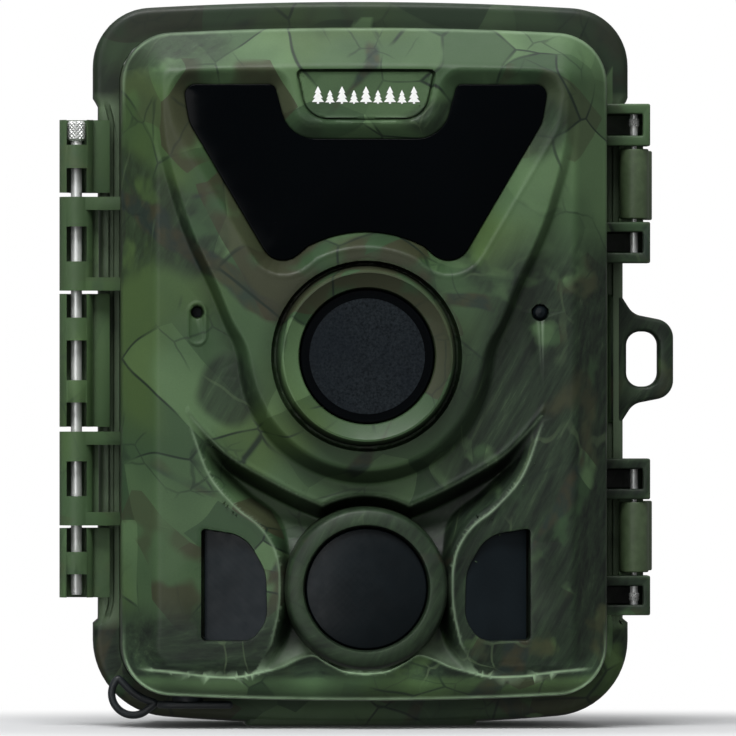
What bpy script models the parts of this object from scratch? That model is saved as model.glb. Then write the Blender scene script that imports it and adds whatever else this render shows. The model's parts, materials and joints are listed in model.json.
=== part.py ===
"""Trail camera: a two-part hinged case.

The optics, boards and keys are in the front cover, and the cells in the rear housing. The numbers in this
file are millimetres, and the helpers turn them into metres. +Z is up, the lens looks along -Y, and the origin
is on the bottom face, under the lens. Points of a flat outline are (x, z) unless a name says otherwise.
"""

import math

import bmesh
import bpy
from mathutils import Matrix, Vector

MM = 0.001

# Case, seen from the front
TOP = 137.0
CASE_LOW = 0.25  # the foot reaches down to 0
CASE_HALF = 50.6  # rear rim, with its hoods at top and bottom
WAIST_HALF = 49.4  # rear rim between the hoods
WAIST_LOW, WAIST_HIGH = 19.5, 118.4
COVER_HALF = 45.7
COVER_LOW, COVER_HIGH = 5.1, 131.7
FACE_HALF = 39.5
FACE_LOW, FACE_HIGH = 10.6, 124.5
SKIN = 2.2

# Case, front to back
LENS_FRONT = -38.0
FACE = -30.0
MASK = -32.0
PARTING = -6.0
COVER_BACK = PARTING - 0.3
RIM_BACK = 5.0
TUB_BACK = 33.0
FOOT_HALF, FOOT_BACK = 22.0, 29.0
RAIL_BACK = 40.0
PANEL_BACK = 2.0

# Optics
LENS_Z = 69.9
GLASS_R = 12.4
PIR_Z = 26.4
PIR_R = 11.2
SIDE_PIR_X = 25.0

# Hinge and latches; their axes are vertical
HINGE_X, HINGE_Y = -53.9, -9.5
KNUCKLE_R = 3.2
HINGE_PIN_R = 1.0
LATCH_X, LATCH_Y = 51.5, -10.0
LATCH_PIN_R = 0.75
LEVER_BARREL_R = 2.8
REAR_KNUCKLES = ((100.8, 114.5), (56.6, 81.7), (24.4, 37.5))
REAR_KNUCKLE_WINDOWS = (
    (100.0, 105.4),
    (109.8, 116.0),
    (56.0, 61.2),
    (65.4, 72.9),
    (77.2, 82.5),
    (24.0, 28.8),
    (33.0, 38.0),
)
COVER_KNUCKLES = ((82.3, 100.0), (38.0, 55.7))
COVER_KNUCKLE_WINDOWS = ((87.8, 94.4), (43.5, 50.1))
ARM_THICK = 2.5
# Each latch: lever bottom and top, then the outer ends of the yokes under and over it
LATCHES = {"upper": (95.9, 109.1, 87.5, 117.6), "lower": (29.1, 42.4, 21.0, 50.6)}

# Cells: two rows of four AA
CELL_R = 7.1
CELL_LENGTH = 50.5
CELL_PITCH = 15.2
CELL_Y = 17.2
ROWS = {"lower": 12.4, "upper": 70.4}  # top of the contact board under each row
ROW_CLEAR = 54.4  # between a row's two contact boards
BOARD = 1.0
SPRING_SPACE = 3.2

# Controls on the inside of the cover: name to (x, z)
KEY_R = 3.0
KEYS = {
    "key_ok": (0.0, 55.0),
    "key_up": (0.0, 64.5),
    "key_down": (0.0, 45.5),
    "key_left": (9.5, 55.0),
    "key_right": (-9.5, 55.0),
    "key_menu": (24.0, 55.0),
}
SWITCH_X, SWITCH_Z = -27.8, 55.0
SWITCH_TRAVEL = 8.0
JACK_X, JACK_Y = -33.0, -14.5
SCREWS = ((-34.5, 92.0), (34.5, 92.0), (-35.5, 44.0), (35.5, 44.0))
MICROPHONE_X, LIGHT_SENSOR_X, SMALL_HOLES_Z = -31.6, 32.7, 78.1

PROUD = 1.0  # how far a cutter or a joined solid runs past the face it meets

MATERIALS = {  # colour, roughness, metallic
    "camo_green": ((0.085, 0.13, 0.06), 0.5, 0.0),
    "black_plastic": ((0.012, 0.012, 0.013), 0.4, 0.0),
    "dark_window": ((0.004, 0.004, 0.005), 0.12, 0.0),
    "grey_lens_film": ((0.015, 0.018, 0.022), 0.35, 0.0),
    "clear_glass": ((0.5, 0.52, 0.55), 0.05, 0.0),
    "steel": ((0.7, 0.7, 0.68), 0.25, 1.0),
    "brass": ((0.72, 0.5, 0.2), 0.3, 1.0),
    "rubber": ((0.01, 0.01, 0.012), 0.7, 0.0),
    "silicone": ((0.35, 0.36, 0.36), 0.6, 0.0),
    "circuit_board": ((0.01, 0.09, 0.04), 0.45, 0.0),
    "cell_wrap": ((0.03, 0.05, 0.12), 0.3, 0.2),
}


# ---------------------------------------------------------------- scene helpers


def collection(name):
    made = bpy.data.collections.new(name)
    bpy.context.scene.collection.children.link(made)
    return made


def clear_scene():
    for old in list(bpy.data.objects):
        bpy.data.objects.remove(old)


def material(name):
    found = bpy.data.materials.get(name)
    if found:
        return found
    colour, roughness, metallic = MATERIALS[name]
    made = bpy.data.materials.new(name)
    made.use_nodes = True
    shader = made.node_tree.nodes["Principled BSDF"]
    shader.inputs["Base Color"].default_value = (*colour, 1.0)
    shader.inputs["Roughness"].default_value = roughness
    shader.inputs["Metallic"].default_value = metallic
    return made


def add_object(name, mesh):
    """A helper solid, hidden from render until publish() makes it a part."""
    made = bpy.data.objects.new(name, mesh)
    CONSTRUCTION.objects.link(made)
    made.hide_render = True
    made.display_type = "WIRE"
    return made


def mesh_object(name, bm):
    bmesh.ops.recalc_face_normals(bm, faces=bm.faces)
    mesh = bpy.data.meshes.new(name)
    bm.to_mesh(mesh)
    bm.free()
    return add_object(name, mesh)


def publish(obj, name, material_name, origin=None):
    """Makes a finished solid one of the camera's parts. origin is a moving piece's own origin, in mm."""
    obj.name = name
    CONSTRUCTION.objects.unlink(obj)
    CAMERA.objects.link(obj)
    obj.hide_render = False
    obj.display_type = "TEXTURED"
    obj.data.materials.clear()
    obj.data.materials.append(material(material_name))
    obj.data.shade_smooth()
    obj.data.set_sharp_from_angle(angle=math.radians(35))
    if origin:
        move = Matrix.Translation(Vector(origin) * MM)
        obj.data.transform(move.inverted() @ obj.matrix_world)
        obj.matrix_world = move
    return obj


# ---------------------------------------------------------------- shape helpers


def box(name, low, high):
    """A box between two corners."""
    low, high = Vector(low) * MM, Vector(high) * MM
    bm = bmesh.new()
    bmesh.ops.create_cube(bm, size=1.0)
    size = Matrix.Diagonal((*(high - low), 1.0))
    bmesh.ops.transform(bm, matrix=Matrix.Translation((low + high) / 2) @ size, verts=bm.verts)
    return mesh_object(name, bm)


def side_box(name, side, inner, outer, ys, zs):
    """A box on the left (side -1) or right (side 1), between two distances from the plane x = 0."""
    near, far = sorted((side * inner, side * outer))
    return box(f"{name}_{side}", (near, ys[0], zs[0]), (far, ys[1], zs[1]))


def cylinder(name, radius, start, end, sides=24, end_radius=None):
    """A cylinder or cone frustum from start to end."""
    start, end = Vector(start) * MM, Vector(end) * MM
    along = end - start
    bm = bmesh.new()
    bmesh.ops.create_cone(
        bm,
        cap_ends=True,
        segments=sides,
        radius1=radius * MM,
        radius2=(radius if end_radius is None else end_radius) * MM,
        depth=along.length,
    )
    turn = along.to_track_quat("Z", "Y").to_matrix().to_4x4()
    bmesh.ops.transform(bm, matrix=Matrix.Translation((start + end) / 2) @ turn, verts=bm.verts)
    return mesh_object(name, bm)


def turned(name, profile, base, direction, steps=20):
    """A solid of revolution. profile holds (radius, height) from its top down, heights along direction."""
    mesh = bpy.data.meshes.new(name)
    points = [(r * MM, 0.0, h * MM) for r, h in profile]
    mesh.from_pydata(points, [(i, i + 1) for i in range(len(points) - 1)], [])
    made = add_object(name, mesh)
    screw = made.modifiers.new("turn", "SCREW")
    screw.steps = screw.render_steps = steps
    screw.use_merge_vertices = True
    screw.merge_threshold = 1e-6
    made.rotation_mode = "QUATERNION"
    made.rotation_quaternion = Vector(direction).to_track_quat("Z", "Y")
    made.location = Vector(base) * MM
    return baked(made)


def baked(obj):
    """The object as evaluated, as a plain closed mesh in world space."""
    bpy.context.view_layer.update()
    graph = bpy.context.evaluated_depsgraph_get()
    mesh = bpy.data.meshes.new_from_object(obj.evaluated_get(graph))
    mesh.transform(obj.matrix_world)
    name = obj.name
    bpy.data.objects.remove(obj)
    bm = bmesh.new()
    bm.from_mesh(mesh)
    bmesh.ops.remove_doubles(bm, verts=bm.verts, dist=1e-6)
    return mesh_object(name, bm)


def flat_curve(name, rings, thickness):
    curve = bpy.data.curves.new(name, "CURVE")
    curve.dimensions = "2D"
    curve.fill_mode = "BOTH"
    curve.extrude = thickness / 2 * MM
    for ring in rings:
        spline = curve.splines.new("POLY")
        spline.points.add(len(ring) - 1)
        for point, (u, v) in zip(spline.points, ring):
            point.co = (u * MM, v * MM, 0.0, 1.0)
        spline.use_cyclic_u = True
    return add_object(name, curve)


def plate(name, outline, front, back, holes=()):
    """An outline of (x, z) points made solid between two y values."""
    made = flat_curve(name, (outline, *holes), back - front)
    made.rotation_euler = (math.pi / 2, 0.0, 0.0)
    made.location = (0.0, (front + back) / 2 * MM, 0.0)
    return baked(made)


def plate_up(name, outline, low, high):
    """An outline of (x, y) points made solid between two z values."""
    made = flat_curve(name, (outline,), high - low)
    made.location = (0.0, 0.0, (low + high) / 2 * MM)
    return baked(made)


def loft(name, sections):
    """A solid through outlines of equal point count, given as (y, outline) from front to back."""
    bm = bmesh.new()
    rings = [[bm.verts.new((x * MM, y * MM, z * MM)) for x, z in ring] for y, ring in sections]
    for near, far in zip(rings, rings[1:]):
        for i in range(len(near)):
            j = (i + 1) % len(near)
            bm.faces.new((near[i], near[j], far[j], far[i]))
    bm.faces.new(rings[0])
    bm.faces.new(rings[-1])
    return mesh_object(name, bm)


def tube(name, path, radius, closed=False, resolution=1):
    """A round wire along (x, y, z) points."""
    curve = bpy.data.curves.new(name, "CURVE")
    curve.dimensions = "3D"
    curve.bevel_depth = radius * MM
    curve.bevel_resolution = resolution
    curve.use_fill_caps = True
    spline = curve.splines.new("POLY")
    spline.points.add(len(path) - 1)
    for point, place in zip(spline.points, path):
        point.co = (*(Vector(place) * MM), 1.0)
    spline.use_cyclic_u = closed
    return baked(add_object(name, curve))


def combine(target, operation, others):
    for other in others:
        step = target.modifiers.new(f"{operation.lower()}_{other.name}", "BOOLEAN")
        step.operation = operation
        step.object = other
    return target


def join(target, *others):
    return combine(target, "UNION", others)


def cut(target, *others):
    return combine(target, "DIFFERENCE", others)


# ---------------------------------------------------------------- outlines


def arc(cx, cz, radius, start, end, steps):
    """Points on a circle from one angle to another, in degrees, both ends included."""
    angles = [math.radians(start + (end - start) * i / steps) for i in range(steps + 1)]
    return [(cx + radius * math.cos(a), cz + radius * math.sin(a)) for a in angles]


def shield(half, low, high, low_corner, high_corner, low_arch=300.0, high_arch=260.0, steps=4):
    """The case's outline: straight sides, round corners, and a top and bottom that bow outwards."""

    def half_end(corner, arch):
        """A quarter of the outline with its apex at (0, 0), from the side to the apex."""
        centre = half - corner
        drop = arch - math.sqrt((arch - corner) ** 2 - centre**2)
        lean = math.degrees(math.asin(centre / (arch - corner)))
        bend = arc(centre, -drop, corner, 0.0, 90.0 - lean, steps)
        bow = arc(0.0, -arch, arch, 90.0 - lean, 90.0, 2)
        return bend + bow[1:]

    top = [(x, z + high) for x, z in half_end(high_corner, high_arch)]
    bottom = [(x, low - z) for x, z in half_end(low_corner, low_arch)]
    left_top = [(-x, z) for x, z in reversed(top[:-1])]
    left_bottom = [(-x, z) for x, z in bottom]
    return top + left_top + left_bottom + list(reversed(bottom[:-1]))


def rounded(corners, steps=3):
    """A polygon of (x, z, radius) corners with each corner rounded."""
    points = []
    count = len(corners)
    for i, (x, z, radius) in enumerate(corners):
        here = Vector((x, z))
        before = (Vector(corners[i - 1][:2]) - here).normalized()
        after = (Vector(corners[(i + 1) % count][:2]) - here).normalized()
        if radius <= 0.0:
            points.append((x, z))
            continue
        half_angle = before.angle(after) / 2
        reach = radius / math.tan(half_angle)
        centre = here + (before + after).normalized() * (radius / math.sin(half_angle))
        start, end = here + before * reach - centre, here + after * reach - centre
        sweep = start.angle_signed(end)
        for k in range(steps + 1):
            ray = start.copy()
            ray.rotate(Matrix.Rotation(-sweep * k / steps, 2))
            points.append(tuple(centre + ray))
    return points


def mirrored(right_half):
    """A closed outline from its right half, whose ends lie on x = 0 or face each other across it."""
    left = [(-x, *rest) for x, *rest in reversed(right_half)]
    return [p for p in right_half] + [p for p in left if abs(p[0]) > 1e-6]


def slot(cx, cz, half_width, half_height, steps=5):
    """An upright slot with round ends."""
    straight = half_height - half_width
    top = arc(cx, cz + straight, half_width, 0.0, 180.0, steps)
    bottom = arc(cx, cz - straight, half_width, 180.0, 360.0, steps)
    return top + bottom


WINDOW_ARCH = 23.1  # radius of the window's lower edge round the lens


def window_outline(inset=0.0):
    """The infrared window: wide at the top, notched for the badge, with two lobes beside the lens."""
    arch_r = WINDOW_ARCH + inset
    arch = [(x, z, 0.0) for x, z in arc(0.0, LENS_Z, arch_r, 60.0, 90.0, 4)]
    right = [
        (0.0, 110.9 - inset, 0.0),
        (14.0 + inset, 110.9 - inset, 5.0),
        (16.4 + inset, 121.1 - inset, 1.2),
        (34.6 - inset, 121.1 - inset, 2.2),
        (33.6 - inset * 1.1, 114.5, 6.0),
        (17.2 - inset * 0.2, 85.8 + inset * 2.1, 4.2 - inset),
    ]
    return rounded(mirrored(right + arch))


def side_pir_outline(side, grow=0.0):
    """A side sensor window, straight on its outer edge and bowed on its inner edge. side is -1 or 1."""
    outer, inner = 31.3 + grow, 18.5 - grow
    low, high = 16.4 - grow, 37.8 + grow
    corners = [
        (outer, low, 1.0),
        (outer, high, 1.0),
        (24.5, high - 1.6, 6.0),
        (inner, 29.5, 6.0),
        (inner + 0.4, low + 5.0, 5.0),
        (23.0, low, 4.0),
    ]
    return rounded([(side * x, z, r) for x, z, r in corners])


def side_pod_outline(side):
    """The raised hood round a side sensor, which narrows to a point beside the lens."""
    corners = [
        (38.6, 12.2, 3.0),
        (38.6, 57.0, 0.5),
        (34.2, 59.0, 0.5),
        (31.0, 50.0, 8.0),
        (22.5, 41.6, 12.0),
        (16.0, 33.0, 9.0),
        (16.4, 13.5, 7.0),
        (26.0, 11.0, 6.0),
    ]
    return rounded([(side * x, z, r) for x, z, r in corners])


# ---------------------------------------------------------------- rear housing


def hinge_barrel(name, low, high):
    return cylinder(name, KNUCKLE_R, (HINGE_X, HINGE_Y, low), (HINGE_X, HINGE_Y, high), sides=16)


def hinge_window(name, low, high):
    """The moulding gap in the front of a knuckle, through which the pin shows."""
    half = 1.9
    return box(name, (HINGE_X - half, HINGE_Y - 5.0, low), (HINGE_X + half, HINGE_Y + 1.8, high))


def pin_bore(name, x, y, radius, low, high):
    return cylinder(name, radius, (x, y, low), (x, y, high), sides=16)


def padlock_lug():
    outline = rounded(
        [
            (47.5, 80.8, 0.0),
            (49.6, 80.8, 0.0),
            (51.6, 77.8, 3.0),
            (59.3, 76.4, 3.4),
            (59.3, 62.2, 3.4),
            (51.6, 60.8, 3.0),
            (49.6, 57.8, 0.0),
            (47.5, 57.8, 0.0),
        ]
    )
    return plate("lug", outline, PARTING, PARTING + 6.0, holes=(slot(53.3, 69.4, 3.1, 5.2),))


def strap_rails():
    """Two upright rails on the back, slotted for the tree strap and toothed so that they grip bark."""
    inner, outer = 14.0, 20.0
    low, high = 28.0, 110.0
    slot_low, slot_high = 55.5, 84.5
    slot_front, slot_back = TUB_BACK + 0.4, RAIL_BACK - 2.0
    reach = outer + 5.0
    tooth_y = RAIL_BACK + 0.5
    depth = (TUB_BACK - 2.5, RAIL_BACK)
    rails = [side_box("rail", side, inner, outer, depth, (low, high)) for side in (-1, 1)]
    strap = box("strap_slot", (-reach, slot_front, slot_low), (reach, slot_back, slot_high))
    teeth = [
        cylinder(f"tooth_{z}", 1.7, (-reach, tooth_y, z), (reach, tooth_y, z), sides=4)
        for z in (33.0, 37.5, 42.0, 96.0, 100.5, 105.0)
    ]
    return rails, [strap, *teeth]


def case_outline(inset):
    """The rear rim with its hoods, inset all round."""
    return shield(CASE_HALF - inset, CASE_LOW + inset, TOP - inset, 12.0, 10.5)


def rear_housing():
    rim = [(PARTING, 0.9), (PARTING + 1.0, 0.0), (RIM_BACK - 0.8, 0.0), (RIM_BACK, 0.9)]
    body = loft("rim", [(y, case_outline(inset)) for y, inset in rim])
    tub = loft(
        "tub",
        [
            (RIM_BACK - 2.0, shield(45.2, 2.9, 134.1, 11.0, 10.0)),
            (27.0, shield(44.3, 3.5, 133.5, 11.0, 10.0)),
            (TUB_BACK, shield(39.0, 8.8, 128.2, 9.0, 9.0)),
        ],
    )
    cavity = loft(
        "cavity",
        [
            (PARTING - 2.0, shield(42.0, 8.3, 129.3, 8.0, 8.0, 700.0, 700.0)),
            (26.0, shield(41.6, 8.5, 129.1, 8.0, 8.0, 700.0, 700.0)),
            (TUB_BACK - SKIN, shield(37.0, 11.0, 126.5, 7.0, 7.0, 700.0, 700.0)),
        ],
    )
    groove = plate(
        "groove",
        shield(COVER_HALF, COVER_LOW, COVER_HIGH, 9.4, 8.4, 700.0, 700.0),
        PARTING - 2.0,
        PARTING + 1.8,
        holes=(shield(43.5, 7.3, 129.5, 7.2, 6.2, 700.0, 700.0),),
    )
    foot_corners = mirrored([(FOOT_HALF, PARTING + 0.2, 3.0), (FOOT_HALF, FOOT_BACK, 3.0)])
    foot = plate_up("foot", rounded(foot_corners, steps=4), 0.0, 6.0)
    insert_bore = cylinder("insert_bore", 4.3, (0.0, 15.0, -1.0), (0.0, 15.0, 6.8))
    through = (PARTING - 2.0, RIM_BACK + 2.0)
    waist = [side_box("waist", side, WAIST_HALF, 52.0, through, (WAIST_LOW, WAIST_HIGH)) for side in (-1, 1)]
    latch_notches = [
        side_box(f"notch_{name}", 1, 47.0, 53.0, through, (low - 0.6, min(high + 0.7, WAIST_HIGH)))
        for name, (_, _, low, high) in LATCHES.items()
    ]
    knuckles = [hinge_barrel(f"rear_knuckle_{low}", low, high) for low, high in REAR_KNUCKLES]
    webs = [
        box(f"rear_web_{low}", (HINGE_X - 1.2, HINGE_Y + 0.6, low), (-48.4, PARTING + 3.4, high))
        for low, high in REAR_KNUCKLES
    ]
    windows = [hinge_window(f"rear_window_{low}", low, high) for low, high in REAR_KNUCKLE_WINDOWS]
    bore = pin_bore("rear_pin_bore", HINGE_X, HINGE_Y, HINGE_PIN_R + 0.3, 20.0, 118.0)
    rails, rail_cuts = strap_rails()

    join(body, tub, foot)
    cut(body, cavity, groove, insert_bore, *waist, *latch_notches)
    join(body, *webs, *knuckles, padlock_lug(), *rails)
    cut(body, *windows, bore, *rail_cuts)
    publish(body, "rear_housing", "camo_green")


def gasket():
    ring = plate(
        "gasket",
        shield(45.45, 5.35, 131.45, 9.2, 8.2, 700.0, 700.0),
        COVER_BACK + 0.1,
        PARTING + 1.5,
        holes=(shield(43.75, 7.05, 129.75, 7.4, 6.4, 700.0, 700.0),),
    )
    publish(ring, "gasket", "silicone")


def hinge_pin():
    top, neck, foot = 115.0, 112.6, 24.9
    head_r = 1.45
    profile = [
        (0.0, top),
        (1.1, top),
        (head_r, top - 0.4),
        (head_r, neck + 0.2),
        (HINGE_PIN_R, neck - 0.2),
        (HINGE_PIN_R, foot + 0.5),
        (0.7, foot),
        (0.0, foot),
    ]
    publish(turned("pin", profile, (HINGE_X, HINGE_Y, 0.0), (0, 0, 1), steps=14), "hinge_pin", "steel")


def tripod_insert():
    """A brass sleeve for a quarter-inch camera screw, with a groove round it that locks it in the foot."""
    bore, outer, groove = 2.9, 4.0, 3.6
    top, foot = 6.5, 0.2
    rim = [(outer, top), (outer, 4.0), (groove, 3.7), (groove, 3.1), (outer, 2.8), (outer, foot)]
    profile = [(bore, top), *rim, (bore, foot), (bore, top)]
    publish(turned("insert", profile, (0.0, 15.0, 0.0), (0, 0, 1)), "tripod_insert", "brass")


def cell_columns():
    return [(i - 1.5) * CELL_PITCH for i in range(4)]


def points_up(column):
    """Neighbouring cells face opposite ways."""
    return column % 2 == 0


def cradle(x, base):
    """The round trough that a cell lies in."""
    past_boards = BOARD + 0.2
    foot, top = base - past_boards, base + ROW_CLEAR + past_boards
    return cylinder(f"cradle_{x}_{base}", CELL_R + 0.35, (x, CELL_Y, foot), (x, CELL_Y, top))


def battery_tray():
    body = box("tray", (-31.6, 13.0, 10.0), (31.6, 26.9, 127.2))
    cradles = [cradle(x, base) for base in ROWS.values() for x in cell_columns()]
    slots = [
        box(f"board_slot_{row}_{end}", (-30.8, 8.0, z - 0.3), (30.8, 24.8, z + BOARD + 0.3))
        for row, base in ROWS.items()
        for end, z in (("low", base - BOARD), ("high", base + ROW_CLEAR))
    ]
    cut(body, *cradles, *slots)
    publish(body, "battery_tray", "black_plastic")


def batteries():
    """Eight AA cells: turned cans with a positive nub on top, turned over in every second column."""
    can, nub_r, chamfer = CELL_LENGTH - 1.3, 2.75, 0.5
    profile = [
        (0.0, CELL_LENGTH),
        (nub_r, CELL_LENGTH),
        (nub_r, can),
        (CELL_R - chamfer, can),
        (CELL_R, can - chamfer),
        (CELL_R, chamfer),
        (CELL_R - chamfer, 0.0),
        (0.0, 0.0),
    ]
    number = 0
    for base in ROWS.values():
        for column, x in enumerate(cell_columns()):
            number += 1
            if points_up(column):
                foot, way = base + SPRING_SPACE, (0, 0, 1)
            else:
                foot, way = base + ROW_CLEAR - SPRING_SPACE, (0, 0, -1)
            cell = turned("cell", profile, (x, CELL_Y, foot), way, steps=16)
            publish(cell, f"battery_{number}", "cell_wrap")


def spring(name, x, foot, way):
    """A conical coil on a contact board. way is +1 upwards or -1 downwards."""
    turns, per_turn, height = 2.5, 9, SPRING_SPACE - 0.6
    base_r, tip_r, wire_r = 3.2, 2.2, 0.35
    count = int(turns * per_turn)
    path = []
    for i in range(count + 1):
        share = i / count
        radius = base_r + (tip_r - base_r) * share
        angle = math.tau * turns * share
        z = foot + way * height * share
        path.append((x + radius * math.cos(angle), CELL_Y + radius * math.sin(angle), z))
    return tube(name, path, wire_r, resolution=0)


def contact_board(number, foot, way, springs_on):
    """A fibre strip with a spring for each cell's flat end and a stud for each nub.

    foot is the height of its face next to the cells, and way the direction it faces: +1 up, -1 down.
    """
    back = foot - way * BOARD
    board = box("board", (-30.4, 10.2, min(foot, back)), (30.4, 24.4, max(foot, back)))
    contacts = []
    for column, x in enumerate(cell_columns()):
        if points_up(column) == springs_on:
            contacts.append(spring(f"coil_{number}_{column}", x, foot + way * 0.1, way))
        else:
            sunk, top = (x, CELL_Y, foot - way * 0.4), (x, CELL_Y, foot + way * 0.45)
            contacts.append(cylinder(f"stud_{number}_{column}", 2.2, sunk, top, sides=12))
    join(board, *contacts)
    publish(board, f"contact_board_{number}", "black_plastic")


def contact_boards():
    number = 0
    for base in ROWS.values():
        for foot, way in ((base, 1), (base + ROW_CLEAR, -1)):
            number += 1
            contact_board(number, foot, way, springs_on=way > 0)


# ---------------------------------------------------------------- front cover


def cover_arms():
    """Two hinge loops: a barrel each, with an arm at its top and bottom that reaches to the cover's side."""
    inner_x, front, back = -44.4, HINGE_Y - 2.7, COVER_BACK - 0.4
    solids = []
    for low, high in COVER_KNUCKLES:
        solids.append(hinge_barrel(f"cover_knuckle_{low}", low, high))
        for z in (low, high - ARM_THICK):
            solids.append(box(f"arm_{z}", (HINGE_X, front, z), (inner_x, back, z + ARM_THICK)))
    return solids


def latch_yokes():
    """The frames that hold a latch pin above and below each lever, and the gaps through them."""
    front, back = LATCH_Y - 3.0, LATCH_Y + 3.2
    bar, side_wall = 2.0, 1.4
    inner_x, outer_x = 44.4, 54.4
    solids, gaps = [], []
    for lever_low, lever_high, low, high in LATCHES.values():
        for bottom, top in ((low, lever_low - 0.6), (lever_high + 0.5, high)):
            solids.append(box(f"yoke_{bottom}", (inner_x, front, bottom), (outer_x, back, top)))
            gap_low = (COVER_HALF + 0.4, front - 2.0, bottom + bar)
            gap_high = (outer_x - side_wall, back + 2.0, top - bar)
            gaps.append(box(f"yoke_gap_{bottom}", gap_low, gap_high))
    return solids, gaps


def along_y(name, radius, x, z, front, back, sides=12, end_radius=None):
    """A cylinder that points to the front, between two y values."""
    return cylinder(name, radius, (x, front, z), (x, back, z), sides=sides, end_radius=end_radius)


def cover_outline(inset, corner=9.0):
    """The cover's edge at the parting line, inset all round."""
    return shield(COVER_HALF - inset, COVER_LOW + inset, COVER_HIGH - inset, corner, corner, 700.0, 700.0)


def face_outline(inset, corner):
    """The cover's flat face, inset all round."""
    return shield(FACE_HALF - inset, FACE_LOW + inset, FACE_HIGH - inset, corner, corner, 700.0, 700.0)


def cover_shell():
    """The chamfered outer form of the cover, and the hollow inside it."""
    outer = [(FACE, face_outline(0.0, 7.0)), (-24.0, cover_outline(0.6)), (COVER_BACK, cover_outline(0.0))]
    inner = [
        (FACE + 2.0, face_outline(SKIN, 6.0)),
        (-23.0, cover_outline(SKIN + 0.6, corner=8.0)),
        (COVER_BACK + PROUD, cover_outline(SKIN, corner=8.0)),
    ]
    return loft("cover_body", outer), loft("cover_hollow", inner)


def mask():
    """The raised field round the window, which narrows down to the lens."""
    corners = [
        (0.0, 122.0, 0.0),
        (37.6, 122.0, 3.0),
        (36.4, 101.0, 10.0),
        (29.0, 83.0, 12.0),
        (23.0, 70.0, 0.0),
        (0.0, 64.0, 0.0),
    ]
    return plate("mask", rounded(mirrored(corners)), MASK, FACE + PROUD)


def badge_recess():
    corners = [(0.0, 114.3, 0.0), (10.6, 114.3, 4.0), (12.9, 123.4, 1.0), (0.0, 123.4, 0.0)]
    return plate("badge_cut", rounded(mirrored(corners)), MASK - PROUD, MASK + 0.6)


def front_features():
    """What stands proud of the cover's face: the mask, the lens turret and the sensors' hoods."""
    back = FACE + PROUD
    lens_step = along_y("lens_step", 22.6, 0.0, LENS_Z, MASK + 0.02, back, sides=32)
    turret = along_y("turret", 16.8, 0.0, LENS_Z, LENS_FRONT, back, sides=32)
    pir_bezel = along_y("pir_bezel", 14.8, 0.0, PIR_Z, FACE - 4.4, back, sides=32)
    pods = [plate(f"pod_{side}", side_pod_outline(side), FACE - 3.0, back) for side in (-1, 1)]
    return [mask(), lens_step, turret, pir_bezel, *pods]


def front_openings():
    """The holes in the cover's face, and the badge's recess."""
    inside = FACE + 4.0
    bezel_front = FACE - 6.0
    mouth = (LENS_FRONT - 0.4, LENS_FRONT + 1.7)
    turret_mouth = along_y("turret_mouth", 15.6, 0.0, LENS_Z, *mouth, sides=32, end_radius=12.2)
    lens_bore = along_y("lens_bore", GLASS_R + 0.3, 0.0, LENS_Z, LENS_FRONT - PROUD, inside, sides=32)
    pir_bore = along_y("pir_bore", PIR_R + 0.3, 0.0, PIR_Z, bezel_front, inside, sides=32)
    pod_bores = [
        plate(f"pod_bore_{side}", side_pir_outline(side, 0.3), bezel_front, inside)
        for side in (-1, 1)
    ]
    window = plate("window_cut", window_outline(), MASK - PROUD, inside)
    mic_hole = along_y("mic_hole", 1.1, MICROPHONE_X, SMALL_HOLES_Z, FACE - 2.0, inside)
    sensor_hole = along_y("sensor_hole", 1.8, LIGHT_SENSOR_X, SMALL_HOLES_Z, FACE - 2.0, inside)
    return [turret_mouth, lens_bore, pir_bore, *pod_bores, window, badge_recess(), mic_hole, sensor_hole]


def front_cover():
    body, hollow = cover_shell()
    bosses = [along_y(f"boss_{x}_{z}", 3.2, x, z, FACE + PROUD, -8.7, sides=16) for x, z in SCREWS]
    screw_holes = [along_y(f"screw_hole_{x}_{z}", 1.5, x, z, -20.0, -5.0, sides=10) for x, z in SCREWS]
    jack_hole = cylinder("jack_hole", 3.5, (JACK_X, JACK_Y, 2.0), (JACK_X, JACK_Y, 10.0), sides=16)
    windows = [hinge_window(f"cover_window_{low}", low, high) for low, high in COVER_KNUCKLE_WINDOWS]
    hinge_bore = pin_bore("cover_pin_bore", HINGE_X, HINGE_Y, HINGE_PIN_R + 0.3, 30.0, 110.0)
    latch_bore = pin_bore("latch_pin_bore", LATCH_X, LATCH_Y, LATCH_PIN_R + 0.2, 10.0, 125.0)
    yokes, yoke_gaps = latch_yokes()

    join(body, *front_features())
    cut(body, hollow)
    join(body, *bosses, *cover_arms(), *yokes)
    cut(body, *front_openings(), jack_hole)
    cut(body, *screw_holes, *windows, hinge_bore, latch_bore, *yoke_gaps)
    publish(body, "front_cover", "camo_green", origin=(HINGE_X, HINGE_Y, 0.0))


def ir_window():
    publish(plate("window", window_outline(0.25), FACE + 0.2, FACE + 1.8), "ir_window", "dark_window")


def led_places():
    """Infrared LED centres on a staggered grid, inside the window's outline and clear of the lens arch."""
    pitch, row_pitch, top_row, margin = 6.3, 5.4, 118.0, 3.6
    window_half, side_lean = 34.2, 0.52
    places = []
    for row in range(6):
        z = top_row - row * row_pitch
        for column in range(-6, 7):
            x = (column + 0.5 * (row % 2)) * pitch
            side_limit = window_half - max(0.0, 116.0 - z) * side_lean - margin
            under_badge = abs(x) < 16.0 and z > 110.9 - margin
            over_lens = math.hypot(x, z - LENS_Z) < WINDOW_ARCH + margin
            if abs(x) <= side_limit and not under_badge and not over_lens:
                places.append((x, z))
    return places


def led_board():
    board = plate("led_pcb", window_outline(1.0), -23.6, -22.4)
    leds = [
        cylinder(f"led_{i}", 1.9, (x, -23.2, z), (x, -27.6, z), sides=6, end_radius=1.2)
        for i, (x, z) in enumerate(led_places())
    ]
    join(board, *leds)
    publish(board, "led_board", "circuit_board")


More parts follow.
